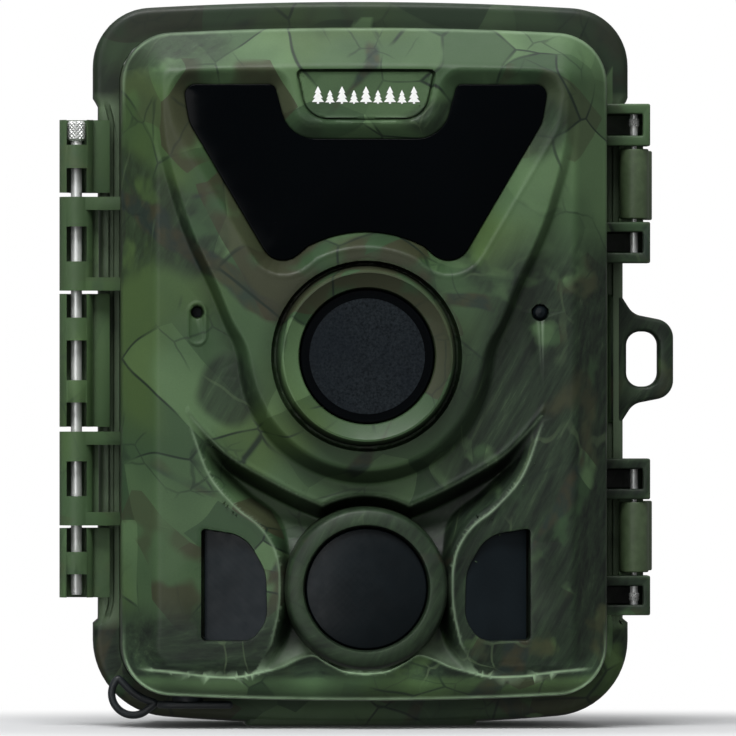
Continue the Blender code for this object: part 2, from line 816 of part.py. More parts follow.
def lens_group():
    """The glass, its shade ring, the lens, its holder with the infrared-cut slide, and the image sensor."""
    forward = (0, -1, 0)
    glass = cylinder("glass", GLASS_R, (0, -36.2, LENS_Z), (0, -34.9, LENS_Z), sides=32)
    publish(glass, "lens_window", "clear_glass")
    shade = [(10.6, 3.4), (GLASS_R, 3.4), (GLASS_R, 0.0), (9.4, 0.0), (10.6, 3.4)]
    publish(turned("shade", shade, (0, -31.2, LENS_Z), forward, steps=32), "lens_bezel", "black_plastic")
    hood = [(4.6, 18.0), (5.6, 19.0), (7.4, 19.0), (7.4, 15.5), (5.9, 15.0)]
    barrel = [(0.0, 18.0), *hood, (5.9, 0.0), (0.0, 0.0)]
    publish(turned("barrel", barrel, (0, -13.4, LENS_Z), forward, steps=24), "lens_barrel", "black_plastic")

    holder = box("holder", (-9.0, -18.0, LENS_Z - 9.0), (9.0, -8.9, LENS_Z + 9.0))
    barrel_bore = cylinder("barrel_bore", 6.3, (0, -19.0, LENS_Z), (0, -8.0, LENS_Z), sides=24)
    slide_slot = box("slide_slot", (-10.0, -12.7, LENS_Z - 6.0), (10.0, -11.1, LENS_Z + 6.0))
    publish(cut(holder, barrel_bore, slide_slot), "lens_holder", "black_plastic")

    slide = box("slide", (-16.0, -12.3, LENS_Z - 5.6), (5.2, -11.5, LENS_Z + 5.6))
    opening = cylinder("slide_opening", 4.4, (-10.0, -13.0, LENS_Z), (-10.0, -11.0, LENS_Z), sides=16)
    publish(cut(slide, opening), "ir_cut_filter", "dark_window", origin=(0, -11.9, LENS_Z))

    board = box("sensor_pcb", (-11.0, -8.5, LENS_Z - 11.0), (11.0, -7.3, LENS_Z + 11.0))
    chip = box("sensor_chip", (-4.5, -9.9, LENS_Z - 4.0), (4.5, -8.3, LENS_Z + 4.0))
    publish(join(board, chip), "sensor_board", "circuit_board")


def motion_sensors():
    """Three passive-infrared sensors behind their moulded lens films."""
    dome = [(0.0, 1.7), (5.0, 1.5), (9.0, 1.0), (PIR_R, 0.4), (PIR_R, 0.0), (0.0, 0.0)]
    center = turned("film", dome, (0, FACE - 2.4, PIR_Z), (0, -1, 0), steps=28)
    publish(center, "pir_lens_center", "grey_lens_film")
    for side, name in ((-1, "left"), (1, "right")):
        film = plate("film", side_pir_outline(side), FACE - 1.6, FACE - 0.4)
        publish(film, f"pir_lens_{name}", "grey_lens_film")
    can = [(0.0, 4.2), (4.1, 4.2), (4.1, 0.9), (4.6, 0.9), (4.6, 0.0), (0.0, 0.0)]
    for name, x in (("center", 0.0), ("left", -SIDE_PIR_X), ("right", SIDE_PIR_X)):
        publish(turned("can", can, (x, -14.4, 27.0), (0, -1, 0), steps=16), f"pir_sensor_{name}", "steel")
    publish(box("pir_pcb", (-32.0, -14.1, 18.0), (32.0, -12.9, 40.0)), "pir_board", "circuit_board")


def small_front_parts():
    forward, down = (0, -1, 0), (0, 0, -1)
    can = [(0.0, 2.6), (2.9, 2.6), (2.9, 0.0), (0.0, 0.0)]
    microphone = turned("mic", can, (MICROPHONE_X, -25.0, SMALL_HOLES_Z), forward, steps=14)
    publish(microphone, "microphone", "steel")
    eye = [(0.0, 5.0), (0.9, 4.7), (1.4, 4.0), (1.4, 2.0), (2.6, 2.0), (2.6, 0.0), (0.0, 0.0)]
    light_sensor = turned("eye", eye, (LIGHT_SENSOR_X, -25.4, SMALL_HOLES_Z), forward, steps=14)
    publish(light_sensor, "light_sensor", "grey_lens_film")
    jack = [(0.0, 6.0), (0.9, 5.7), (0.9, 1.2), (2.9, 1.2), (2.9, 6.7), (4.0, 6.7), (4.0, 0.0), (0.0, 0.0)]
    publish(turned("jack", jack, (JACK_X, JACK_Y, 16.0), down, steps=16), "dc_jack", "black_plastic")


def port_flap():
    """A rubber strip under the cover with a plug for the power jack and a pull loop round the corner."""
    strip = box("strip", (-38.8, JACK_Y - 4.0, 3.6), (-24.4, JACK_Y + 4.0, 4.9))
    plug = cylinder("plug", 2.9, (JACK_X, JACK_Y, 4.4), (JACK_X, JACK_Y, 7.2), sides=16, end_radius=2.7)
    outer = arc(-43.2, 6.3, 4.1, 135.0, 300.0, 9)
    under_corner = arc(-36.7, 15.1, 10.8, 258.0, 218.0, 3)
    loop = tube("loop", [(x, JACK_Y + 3.0, z) for x, z in outer + under_corner], 0.7, closed=True)
    publish(join(strip, plug, loop), "port_flap", "rubber", origin=(-24.8, JACK_Y, 4.2))


# ---------------------------------------------------------------- electronics and controls inside the cover


def inner_panel():
    """The moulding that closes the electronics in: a flanged box with the screen, the keys and the ports."""
    proud = PANEL_BACK + PROUD
    body = plate("panel_flange", shield(42.4, 8.5, 128.3, 8.0, 7.0, 700.0, 700.0), -8.3, -6.9)
    housing = plate("panel_box", shield(39.6, 11.2, 125.6, 5.0, 5.0, 700.0, 700.0), -7.5, PANEL_BACK)
    hollow = plate("panel_hollow", shield(38.0, 12.8, 124.0, 4.0, 4.0, 700.0, 700.0), -10.0, 0.0)
    bay_block = box("bay_block", (-30.0, -4.8, 12.0), (30.0, 1.0, 35.0))
    bay = box("bay", (-28.5, -3.3, 12.7), (28.5, proud, 33.3))
    card_slot = box("card_slot", (8.0, -3.25, 32.0), (20.0, -1.85, 36.0))
    usb_port = box("usb_port", (-14.6, -3.1, 32.0), (-5.4, -0.4, 36.0))
    screen = box("screen_cut", (-24.7, -2.0, 78.4), (24.7, proud, 115.6))
    screen_ledge = box("screen_ledge", (-27.0, 0.8, 76.2), (27.0, proud, 117.8))
    key_holes = [along_y(f"hole_{x}_{z}", KEY_R + 0.4, x, z, -2.0, proud, sides=16) for x, z in KEYS.values()]
    slot_start, slot_end = SWITCH_X - 2.0, SWITCH_X + SWITCH_TRAVEL + 2.0
    switch_slot = box("switch_slot", (slot_start, -2.0, SWITCH_Z - 1.8), (slot_end, proud, SWITCH_Z + 1.8))
    pillars, sinks, screw_holes = [], [], []
    for x, z in SCREWS:
        pillars.append(along_y(f"pillar_{x}_{z}", 4.2, x, z, -8.1, 1.0, sides=16))
        sinks.append(along_y(f"sink_{x}_{z}", 2.9, x, z, -6.7, proud, sides=16))
        screw_holes.append(along_y(f"panel_hole_{x}_{z}", 1.6, x, z, -10.0, -5.0, sides=10))
    join(body, housing)
    cut(body, hollow)
    join(body, bay_block, *pillars)
    cut(body, bay, card_slot, usb_port, screen, screen_ledge, *key_holes, switch_slot, *sinks, *screw_holes)
    publish(body, "inner_panel", "black_plastic")


def main_board():
    """The circuit board behind the panel, with a dome switch under each key."""
    board = box("main_pcb", (-29.5, -5.4, 37.0), (29.5, -4.2, 123.0))
    domes = [
        cylinder(f"dome_{name}", 2.2, (x, -4.5, z), (x, -2.6, z), sides=10, end_radius=1.6)
        for name, (x, z) in KEYS.items()
    ]
    publish(join(board, *domes), "main_board", "circuit_board")


def display():
    publish(box("lcd", (-26.4, -3.9, 76.6), (26.4, -0.3, 117.2)), "lcd_module", "black_plastic")
    publish(box("display_glass", (-26.7, 1.0, 76.5), (26.7, 1.9, 117.5)), "display_window", "clear_glass")


def keys():
    cap = [(0.0, 4.5), (KEY_R - 0.5, 4.5), (KEY_R, 4.1), (KEY_R, 1.2), (4.0, 1.2), (4.0, 0.0), (0.0, 0.0)]
    for name, (x, z) in KEYS.items():
        publish(turned("cap", cap, (x, -1.5, z), (0, 1, 0), steps=16), name, "rubber")


def mode_switch():
    base = box("slider_base", (SWITCH_X - 3.5, -1.5, SWITCH_Z - 2.6), (SWITCH_X + 3.5, -0.3, SWITCH_Z + 2.6))
    knob = box("slider_knob", (SWITCH_X - 1.4, -0.8, SWITCH_Z - 1.4), (SWITCH_X + 1.4, 2.8, SWITCH_Z + 1.4))
    publish(join(base, knob), "mode_switch", "black_plastic", origin=(SWITCH_X, 0, SWITCH_Z))


def ports():
    socket = box("socket", (6.9, -3.9, 35.4), (21.1, -1.1, 50.2))
    card_way = box("card_way", (8.2, -3.2, 34.0), (19.8, -1.9, 48.6))
    publish(cut(socket, card_way), "card_socket", "steel")
    corners = [(8.5, 32.2, 0.6), (19.5, 32.2, 0.6), (19.5, 45.0, 0.4), (18.4, 47.2, 0.4), (8.5, 47.2, 0.6)]
    publish(plate("card", rounded(corners, steps=2), -2.95, -2.15), "memory_card", "black_plastic")
    usb = box("usb", (-14.3, -3.8, 35.4), (-5.7, -0.5, 42.6))
    usb_mouth = box("usb_mouth", (-13.8, -3.3, 34.0), (-6.2, -1.0, 41.0))
    publish(cut(usb, usb_mouth), "usb_socket", "steel")


def panel_screws():
    head = [(0.0, 10.6), (1.9, 10.6), (2.5, 10.0), (2.5, 9.2)]
    profile = [*head, (1.2, 8.8), (1.2, 0.5), (0.6, 0.0), (0.0, 0.0)]
    for i, (x, z) in enumerate(SCREWS, start=1):
        publish(turned("screw", profile, (x, -15.2, z), (0, 1, 0), steps=12), f"panel_screw_{i}", "steel")


# ---------------------------------------------------------------- latches


def lever_outline():
    """The lever from above, as (x, y): barrel round the pin, arm, finger tab, and the hook behind the rim."""
    barrel = arc(LATCH_X, LATCH_Y, LEVER_BARREL_R, 150.0, 420.0, 14)
    tab = [(52.6, 4.6), (56.4, 12.0), (55.2, 13.0), (51.4, 8.2)]
    hook_front = RIM_BACK + 0.35
    hook = [(46.0, 8.2), (45.6, 7.8), (45.6, hook_front), (48.4, hook_front), (49.1, hook_front - 0.9)]
    return barrel + tab + hook


def latch_pin(name, yoke_low, yoke_high, knurl_middle):
    """A thin pin between a latch's two yokes, knurled where it was pressed in."""
    top, foot = yoke_high - 1.0, yoke_low + 1.0
    knurl_r, knurl_half, slope = LATCH_PIN_R + 0.35, 1.1, 0.3
    profile = [
        (0.0, top),
        (LATCH_PIN_R, top),
        (LATCH_PIN_R, knurl_middle + knurl_half + slope),
        (knurl_r, knurl_middle + knurl_half),
        (knurl_r, knurl_middle - knurl_half),
        (LATCH_PIN_R, knurl_middle - knurl_half - slope),
        (LATCH_PIN_R, foot),
        (0.0, foot),
    ]
    pin = turned("pin", profile, (LATCH_X, LATCH_Y, 0), (0, 0, 1), steps=12)
    publish(pin, f"latch_pin_{name}", "steel")


def latches():
    from_end = 3.5  # from a yoke's outer end to the middle of its pin's knurl
    for name, (low, high, yoke_low, yoke_high) in LATCHES.items():
        lever = plate_up("lever", lever_outline(), low, high)
        bore = pin_bore(f"lever_bore_{name}", LATCH_X, LATCH_Y, LATCH_PIN_R + 0.2, low - 2.0, high + 2.0)
        pivot = (LATCH_X, LATCH_Y, (low + high) / 2)
        publish(cut(lever, bore), f"latch_lever_{name}", "camo_green", origin=pivot)
        knurl_middle = yoke_high - from_end if name == "upper" else yoke_low + from_end
        latch_pin(name, yoke_low, yoke_high, knurl_middle)


clear_scene()
CAMERA = collection("trail_camera")
CONSTRUCTION = collection("construction")
for build in (
    rear_housing,
    gasket,
    hinge_pin,
    tripod_insert,
    battery_tray,
    batteries,
    contact_boards,
    front_cover,
    ir_window,
    led_board,
    lens_group,
    motion_sensors,
    small_front_parts,
    port_flap,
    inner_panel,
    main_board,
    display,
    keys,
    mode_switch,
    ports,
    panel_screws,
    latches,
):
    build()
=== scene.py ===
"""The looks of the trail camera: every surface and material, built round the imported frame.

Sizes in this file are millimetres in the frame's axes: x to the right, y to the back, z up.
Flat outlines are (x, z).
"relief" means how far a point stands in front of the plane y = 0, so a relief of 30 is y = -30.
"""

import json
import math

import bmesh
import bpy
import numpy as np
from mathutils import Matrix, Vector


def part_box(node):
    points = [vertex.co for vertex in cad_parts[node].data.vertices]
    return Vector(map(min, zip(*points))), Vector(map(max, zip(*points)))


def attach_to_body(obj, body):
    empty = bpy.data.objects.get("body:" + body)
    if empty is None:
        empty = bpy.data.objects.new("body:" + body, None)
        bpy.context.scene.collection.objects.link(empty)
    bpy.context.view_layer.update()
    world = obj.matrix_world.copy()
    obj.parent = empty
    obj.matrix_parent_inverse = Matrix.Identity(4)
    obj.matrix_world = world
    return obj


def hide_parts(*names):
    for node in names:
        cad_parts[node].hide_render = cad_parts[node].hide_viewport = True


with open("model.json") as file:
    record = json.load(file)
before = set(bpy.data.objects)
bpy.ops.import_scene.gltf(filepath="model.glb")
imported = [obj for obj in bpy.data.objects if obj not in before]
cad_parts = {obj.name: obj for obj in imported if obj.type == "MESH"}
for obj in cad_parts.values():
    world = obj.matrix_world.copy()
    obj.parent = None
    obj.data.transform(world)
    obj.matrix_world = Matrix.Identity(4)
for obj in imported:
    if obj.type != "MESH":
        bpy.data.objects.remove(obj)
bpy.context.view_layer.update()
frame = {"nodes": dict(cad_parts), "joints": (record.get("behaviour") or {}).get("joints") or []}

MM = 0.001


# ---------------------------------------------------------------- places taken from the frame


def corners(node):
    """A CAD node's lowest and highest corner in mm."""
    low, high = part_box(node)
    return np.array(low) / MM, np.array(high) / MM


def middle(node):
    low, high = corners(node)
    return (low + high) / 2


def joint(name):
    return next(j for j in frame["joints"] if j["name"] == name)


LENS_Z = middle("lens_window")[2]
PIR_Z = middle("pir_lens_center")[2]
HINGE_X, HINGE_Y = (v / MM for v in joint("cover_hinge")["pos_m"][:2])
LATCH_X, LATCH_Y = (v / MM for v in joint("upper_latch_pivot")["pos_m"][:2])
COVER_BACK = corners("front_cover")[1][1]
COVER_LOW, COVER_HIGH = corners("front_cover")[0][2], corners("front_cover")[1][2]
CASE_LOW, CASE_HIGH = corners("rear_housing")[0][2], corners("rear_housing")[1][2]
GLASS_LOW, GLASS_HIGH = corners("ir_window")[0][2] - 0.25, corners("ir_window")[1][2] + 0.25
WINDOW_HALF = corners("ir_window")[1][0] + 0.65

RING_START_Z = 70.0  # height on the right side at which an evened ring starts
KNURL_DEPTH = 0.26
COVER_HALF = 45.7
CASE_HALF = 50.6
FACE = 30.0
PARTING, RIM_BACK, TUB_BACK = -6.0, 5.0, 33.0
MASK_TOP, MASK_LENS = 31.0, 34.6
CHIN_HEIGHT = 29.9  # relief of the crest where the face turns into the bottom bevel
GLASS_RELIEF = 29.4
HOLE_X, HOLE_Z = 31.6, 78.1  # microphone hole, to the left
EDGE = 23.4  # relief where the cover's front turns into its side


# ---------------------------------------------------------------- meshes


def add(name, verts, faces, material=None, smooth=40):
    mesh = bpy.data.meshes.new(name)
    mesh.from_pydata(np.asarray(verts, float) * MM, [], [tuple(int(i) for i in f) for f in faces])
    mesh.update()
    piece = bpy.data.objects.new(name, mesh)
    bpy.context.scene.collection.objects.link(piece)
    if material:
        mesh.materials.append(material)
    mesh.shade_smooth()
    mesh.set_sharp_from_angle(angle=math.radians(smooth))
    return piece


def fix_normals(piece):
    bm = bmesh.new()
    bm.from_mesh(piece.data)
    bmesh.ops.remove_doubles(bm, verts=bm.verts, dist=1e-7)
    bmesh.ops.recalc_face_normals(bm, faces=bm.faces)
    bm.to_mesh(piece.data)
    bm.free()
    return piece


def baked(piece):
    """The piece with its modifiers applied, as a mesh object at the origin."""
    bpy.context.view_layer.update()
    graph = bpy.context.evaluated_depsgraph_get()
    mesh = bpy.data.meshes.new_from_object(piece.evaluated_get(graph))
    mesh.transform(piece.matrix_world)
    name, materials = piece.name, list(piece.data.materials)
    bpy.data.objects.remove(piece)
    made = bpy.data.objects.new(name, mesh)
    bpy.context.scene.collection.objects.link(made)
    mesh.materials.clear()
    for material in materials:
        mesh.materials.append(material)
    return made


def loft(name, rings, material=None, caps=True, smooth=40):
    """A surface through rings of equal point count; caps close its two ends."""
    rings = [np.asarray(r, float) for r in rings]
    n = len(rings[0])
    verts = np.vstack(rings)
    faces = []
    for k in range(len(rings) - 1):
        a, b = k * n, (k + 1) * n
        faces += [(a + i, a + (i + 1) % n, b + (i + 1) % n, b + i) for i in range(n)]
    if caps:
        faces += [tuple(range(n)), tuple(range((len(rings) - 1) * n, len(rings) * n))]
    return fix_normals(add(name, verts, faces, material, smooth))


def turned(name, profile, centre, material=None, direction=(0, -1, 0), steps=96, smooth=35):
    """A solid of revolution. profile holds (radius, height), heights along direction from centre."""
    axis = Vector(direction).normalized()
    turn = np.array(axis.to_track_quat("Z", "Y").to_matrix())
    angles = np.linspace(0, math.tau, steps, endpoint=False)
    rings, tips = [], []
    for r, h in profile:
        if r > 1e-6:
            ring = np.stack([r * np.cos(angles), r * np.sin(angles), np.full(steps, h)], 1)
            rings.append(ring @ turn.T + centre)
        else:
            tips.append(h)
    return loft(name, rings, material, caps=bool(tips), smooth=smooth)


def curve_plate(name, outline, thickness, holes=(), edge=0.3):
    """A flat outline with round edges, in the curve's own xy plane."""
    curve = bpy.data.curves.new(name, "CURVE")
    curve.dimensions = "2D"
    curve.fill_mode = "BOTH"
    curve.bevel_depth = edge * MM
    curve.bevel_resolution = 2
    curve.offset = -edge * MM
    curve.extrude = (thickness / 2 - edge) * MM
    for ring in (outline, *holes):
        spline = curve.splines.new("POLY")
        spline.points.add(len(ring) - 1)
        for point, (u, v) in zip(spline.points, ring):
            point.co = (u * MM, v * MM, 0.0, 1.0)
        spline.use_cyclic_u = True
    plate = bpy.data.objects.new(name, curve)
    bpy.context.scene.collection.objects.link(plate)
    return plate


def plate(name, outline, front, back, material=None, holes=(), edge=0.3, smooth=50):
    """An (x, z) outline with round edges, from y = front to y = back."""
    made = curve_plate(name, outline, back - front, holes, edge)
    made.rotation_euler = (math.pi / 2, 0, 0)
    made.location = (0, (front + back) / 2 * MM, 0)
    return finish_plate(made, material, smooth)


def plate_up(name, outline, low, high, material=None, edge=0.3, smooth=50):
    """An (x, y) outline with round edges, from z = low to z = high."""
    made = curve_plate(name, outline, high - low, (), edge)
    made.location = (0, 0, (low + high) / 2 * MM)
    return finish_plate(made, material, smooth)


def finish_plate(made, material, smooth):
    piece = fix_normals(baked(made))
    piece.data.materials.clear()
    if material:
        piece.data.materials.append(material)
    piece.data.shade_smooth()
    piece.data.set_sharp_from_angle(angle=math.radians(smooth))
    return piece


def tube(name, path, radius, material=None, closed=False, sides=16):
    """A round wire along a smooth path of (x, y, z) points."""
    path = np.asarray(path, float)
    n = len(path)
    ahead = np.roll(path, -1, 0) - np.roll(path, 1, 0)
    if not closed:
        ahead[0], ahead[-1] = path[1] - path[0], path[-1] - path[-2]
    ahead /= np.linalg.norm(ahead, axis=1)[:, None]
    up = np.cross(ahead[0], (0.0, 1.0, 0.0))
    if np.linalg.norm(up) < 1e-3:
        up = np.cross(ahead[0], (1.0, 0.0, 0.0))
    rings = []
    angles = np.linspace(0, math.tau, sides, endpoint=False)
    for i in range(n):
        up = up - ahead[i] * (up @ ahead[i])
        up /= np.linalg.norm(up)
        side = np.cross(ahead[i], up)
        rings.append(path[i] + radius * (np.cos(angles)[:, None] * up + np.sin(angles)[:, None] * side))
    if closed:
        rings.append(rings[0])
    return loft(name, rings, material, caps=not closed)


def joined(name, *pieces):
    """Several meshes as one object."""
    bm = bmesh.new()
    for piece in pieces:
        bm.from_mesh(piece.data)
    mesh = bpy.data.meshes.new(name)
    bm.to_mesh(mesh)
    bm.free()
    for material in pieces[0].data.materials:
        mesh.materials.append(material)
    for piece in pieces:
        bpy.data.objects.remove(piece)
    made = bpy.data.objects.new(name, mesh)
    bpy.context.scene.collection.objects.link(made)
    return made


# ---------------------------------------------------------------- outlines and distances


def arc(cx, cz, radius, start, end, steps):
    angles = np.radians(np.linspace(start, end, steps + 1))
    return [(cx + radius * math.cos(a), cz + radius * math.sin(a)) for a in angles]


def quarter_shield(half, corner, arch, steps, arch_steps):
    """One upper quarter of a shield with its top at height 0, from the side up to the middle."""
    centre = half - corner
    drop = arch - math.sqrt((arch - corner) ** 2 - centre**2)
    lean = math.degrees(math.asin(centre / (arch - corner)))
    quarter = arc(centre, -drop, corner, 0.0, 90.0 - lean, steps)
    return np.array(quarter + arc(0.0, -arch, arch, 90.0 - lean, 90.0, arch_steps)[1:])


def shield(half, low, high, corner, arch=700.0, foot=None, steps=12, arch_steps=24):
    """The case's outline as an array: straight sides, round corners, bowed top and bottom. Runs anticlockwise
    from +x. foot gives the bottom its own corner and bow."""
    foot_corner, foot_arch = foot or (corner, arch)
    top = quarter_shield(half, corner, arch, steps, arch_steps) + (0, high)
    top_left = top[-2::-1] * (-1, 1)
    bottom = quarter_shield(half, foot_corner, foot_arch, steps, arch_steps) * (1, -1) + (0, low)
    bottom_left = bottom * (-1, 1)
    return np.vstack([top, top_left, bottom_left, bottom[-2::-1]])


def rounded(points, steps=6):
    """A polygon of (x, z, radius) corners with each corner rounded, as an array."""
    made = []
    count = len(points)
    for i, (x, z, radius) in enumerate(points):
        here = Vector((x, z))
        before = (Vector(points[i - 1][:2]) - here).normalized()
        after = (Vector(points[(i + 1) % count][:2]) - here).normalized()
        if radius <= 0.0:
            made.append((x, z))
            continue
        half_angle = before.angle(after) / 2
        reach = radius / math.tan(half_angle)
        centre = here + (before + after).normalized() * (radius / math.sin(half_angle))
        start, end = here + before * reach - centre, here + after * reach - centre
        sweep = start.angle_signed(end)
        for k in range(steps + 1):
            ray = start.copy()
            ray.rotate(Matrix.Rotation(-sweep * k / steps, 2))
            made.append(tuple(centre + ray))
    return np.array(made)


def smooth_path(points, per_span=8):
    """A Catmull-Rom curve through the points."""
    p = np.asarray(points, float)
    p = np.vstack([2 * p[0] - p[1], p, 2 * p[-1] - p[-2]])
    made = []
    for i in range(1, len(p) - 2):
        for t in np.arange(per_span) / per_span:
            a, b, c, d = p[i - 1], p[i], p[i + 1], p[i + 2]
            square = (2 * a - 5 * b + 4 * c - d) * t**2
            cube = (3 * b - a - 3 * c + d) * t**3
            made.append(0.5 * (2 * b + (c - a) * t + square + cube))
    made.append(p[-2])
    return np.array(made)


def mirrored(right):
    """A closed outline from its right half."""
    left = [(-p[0], *p[1:]) for p in reversed([tuple(q) for q in right])]
    return [tuple(q) for q in right] + [p for p in left if abs(p[0]) > 1e-6]


def distance(outline, x, z):
    """Signed distance from points to a closed outline, negative inside."""
    a = np.asarray(outline, float)
    b = np.roll(a, -1, 0)
    best = np.full(x.shape, 1e9)
    inside = np.zeros(x.shape, bool)
    for (ax, az), (bx, bz) in zip(a, b):
        ex, ez = bx - ax, bz - az
        if abs(ex) + abs(ez) < 1e-9:
            continue
        px, pz = x - ax, z - az
        t = np.clip((px * ex + pz * ez) / (ex * ex + ez * ez), 0, 1)
        best = np.minimum(best, (px - t * ex) ** 2 + (pz - t * ez) ** 2)
        crosses = (az > z) != (bz > z)
        if bz != az:
            inside ^= crosses & (x < ax + (z - az) * ex / ez)
    return np.where(inside, -1, 1) * np.sqrt(best)


def ramp(t, soft=0.18):
    """0 below 0, 1 above 1, straight between, with its two bends rounded over a share of the width."""
    t = np.asarray(t, float)
    s = soft
    rise = np.clip(t, 0, 1)
    low = np.where(np.abs(t) < s, (t + s) ** 2 / (4 * s), rise)
    high = np.where(np.abs(t - 1) < s, 1 - (1 + s - t) ** 2 / (4 * s), low)
    return np.clip(high, 0, 1)


def smoother(t):
    t = np.clip(t, 0, 1)
    return t * t * (3 - 2 * t)


def soft_min(a, b, k):
    h = np.clip(0.5 + 0.5 * (b - a) / k, 0, 1)
    return b * (1 - h) + a * h - k * h * (1 - h)


def soft_max(a, b, k):
    return -soft_min(-a, -b, k)


# ---------------------------------------------------------------- the front's features, as outlines

LENS_GROOVE_R = 17.9  # where the mask drops into the groove round the lens ring
ARCH_R = 23.1  # window's lower edge round the lens
MASK_FOOT_R = 23.9
SENSOR_ARCH_R = 17.5

WINDOW = rounded(
    mirrored(
        [
            (0.0, GLASS_HIGH - 10.2, 0.0),
            (14.2, GLASS_HIGH - 10.2, 6.0),
            (16.9, GLASS_HIGH, 1.6),
            (WINDOW_HALF, GLASS_HIGH, 2.2),
            (WINDOW_HALF - 1.2, GLASS_HIGH - 7.4, 8.0),
            (16.6, GLASS_LOW - 2.6, 4.4),
            *[(x, z, 0.0) for x, z in arc(0.0, LENS_Z, ARCH_R, 62.0, 90.0, 10)],
        ]
    )
)

BADGE = rounded(mirrored([(0.0, 114.2, 0.0), (11.0, 114.4, 4.6), (12.9, 123.4, 0.8), (0.0, 123.4, 0.0)]))

FUNNEL = smooth_path(
    [(39.9, 128.0), (39.2, 111.4), (36.3, 99.5), (33.4, 91.2), (29.2, 82.3), (25.4, 73.5), (20.0, 66.0)],
    6,
)
FUNNEL_OUTLINE = mirrored([(0.0, 60.0), *reversed([tuple(p) for p in FUNNEL])])

SWOOSH = smooth_path([(7.3, 41.5), (14.8, 44.9), (24.2, 50.2), (28.9, 54.2), (34.2, 60.2)], 8)
UPPER_FACE = mirrored(
    [
        *arc(0.0, PIR_Z, SENSOR_ARCH_R, 90.0, 65.5, 10),
        *[tuple(p) for p in SWOOSH[1:]],
        (60.0, 75.0),
        (60.0, 140.0),
    ]
)

RIDGE = smooth_path(
    [
        (34.2, 60.2), (32.4, 55.4), (29.3, 47.4), (24.4, 41.6), (20.0, 38.0),
        (17.3, 34.0), (16.3, 30.0), (16.2, 25.0), (16.6, 21.0),
    ],
    6,
)
HOOD_FOOT = [(17.8, 16.0), (20.4, 11.0), (24.0, 6.0), (60.0, 6.0), (60.0, 75.0)]
CHIN = smooth_path(
    [
        (0.0, 10.3), (4.0, 10.9), (7.4, 12.5), (9.7, 13.9), (12.2, 13.4),
        (16.0, 11.7), (20.7, 10.4), (24.5, 9.7), (30.0, 9.9), (37.0, 10.8),
        (48.0, 11.6),
    ],
    4,
)


def hood_outline(side):
    return [(side * x, z) for x, z in [*RIDGE, *HOOD_FOOT]]


def eye_outline(side):
    """A side sensor window: straight outer edge, bowed inner edge."""
    points = [
        (30.9, 16.5, 1.0),
        (30.9, 37.7, 0.7),
        (22.6, 36.4, 6.5),
        (18.7, 29.6, 8.0),
        (18.5, 20.4, 6.0),
        (21.4, 16.5, 3.6),
    ]
    return rounded([(side * x, z, r) for x, z, r in points])


COVER_EDGE = shield(COVER_HALF - 0.4, COVER_LOW + 0.4, COVER_HIGH - 0.4, 9.2)


def mask_distance(x, z):
    """Signed distance to the foot of the raised mask: a funnel from the window down to a ring round the lens."""
    ring = np.hypot(x, z - LENS_Z) - MASK_FOOT_R
    return soft_min(distance(FUNNEL_OUTLINE, x, z), ring, 2.0)


def relief(x, z):
    """The front surface's relief at points (x, z)."""
    inside = -distance(COVER_EDGE, x, z)
    side = np.abs(x)
    shoulder = EDGE + (FACE + 4.0 - EDGE) * ramp(inside / 9.4, 0.04)
    upper = distance(UPPER_FACE, x, z)
    front = upper_relief(x, z) + 0.22 * np.exp(-(((upper + 0.55) / 0.45) ** 2)) * (side < 33.5)

    drop = ramp((upper - 0.1) / 2.4, 0.12)
    surface = front * (1 - drop) + lower_relief(x, z) * drop
    hood = hood_distance(x, z)
    outer = smoother((z - 56.0) / 5.0)
    surface = np.where((hood < 0) & (upper >= 0), lower_relief(x, z) * (1 - outer) + FACE * outer, surface)

    chin_line = np.interp(side, CHIN[:, 0], CHIN[:, 1])
    reach = np.maximum(inside + chin_line - z, 2.0)
    chin = EDGE + (CHIN_HEIGHT - EDGE) * ramp(inside / reach, 0.04)
    surface = np.where(z < chin_line, chin, surface)
    surface = soft_min(surface, shoulder, 1.0)
    surface = window_relief(x, z, surface)
    return small_openings(x, z, surface)


def chin_distance(x, z):
    """Height above the crest where the face turns into the bottom bevel."""
    return z - np.interp(np.abs(x), CHIN[:, 0], CHIN[:, 1])


def hood_distance(x, z):
    return np.minimum(distance(hood_outline(1), x, z), distance(hood_outline(-1), x, z))


def upper_relief(x, z):
    """The face and the mask that rises from it round the window and the lens."""
    raise_by = MASK_TOP - FACE + (MASK_LENS - MASK_TOP) * smoother((118.0 - z) / 50.0)
    wall = 1.6 + 1.4 * smoother((80.0 - z) / 22.0)
    groove = 2.4 * ramp((LENS_GROOVE_R - np.hypot(x, z - LENS_Z)) / 0.5, 0.15)
    return FACE + raise_by * ramp(-mask_distance(x, z) / wall, 0.12) - groove


def lower_relief(x, z):
    """The two hoods over the side sensors and the valley between them, down to the chin."""
    side = np.abs(x)
    hood = hood_distance(x, z)
    low = smoother((57.0 - z) / 22.0)
    height = FACE + (1.3 - 0.05 * np.clip(side - 17.0, 0, 30)) * low
    fall = 0.95 * np.clip(hood, 0, 1.1) + 2.0 * np.clip(hood - 1.1, 0, 8)
    crest = 0.25 * np.exp(-(((np.minimum(hood, 0.0) + 0.1) / 0.9) ** 2))
    height = height + crest * smoother((z - 18.0) / 8.0) * low
    flank = height - fall * smoother((61.5 - z) / 4.0)
    floor_height = 24.4 + 4.0 * smoother((41.0 - z) / 9.0) - 1.6 * smoother((27.0 - z) / 8.0)
    chin_line = np.interp(side, CHIN[:, 0], CHIN[:, 1])
    above = np.clip(z - chin_line, 0, 30)
    lip = CHIN_HEIGHT - 0.25 - 0.72 * above
    valley = soft_max(soft_max(floor_height, flank, 0.7), lip, 1.5)
    ledge = 0.55 * ramp(above / 0.55, 0.1) * (1 - smoother(above / 9.0))
    return np.where(hood < 0, height, np.minimum(valley, height)) - ledge


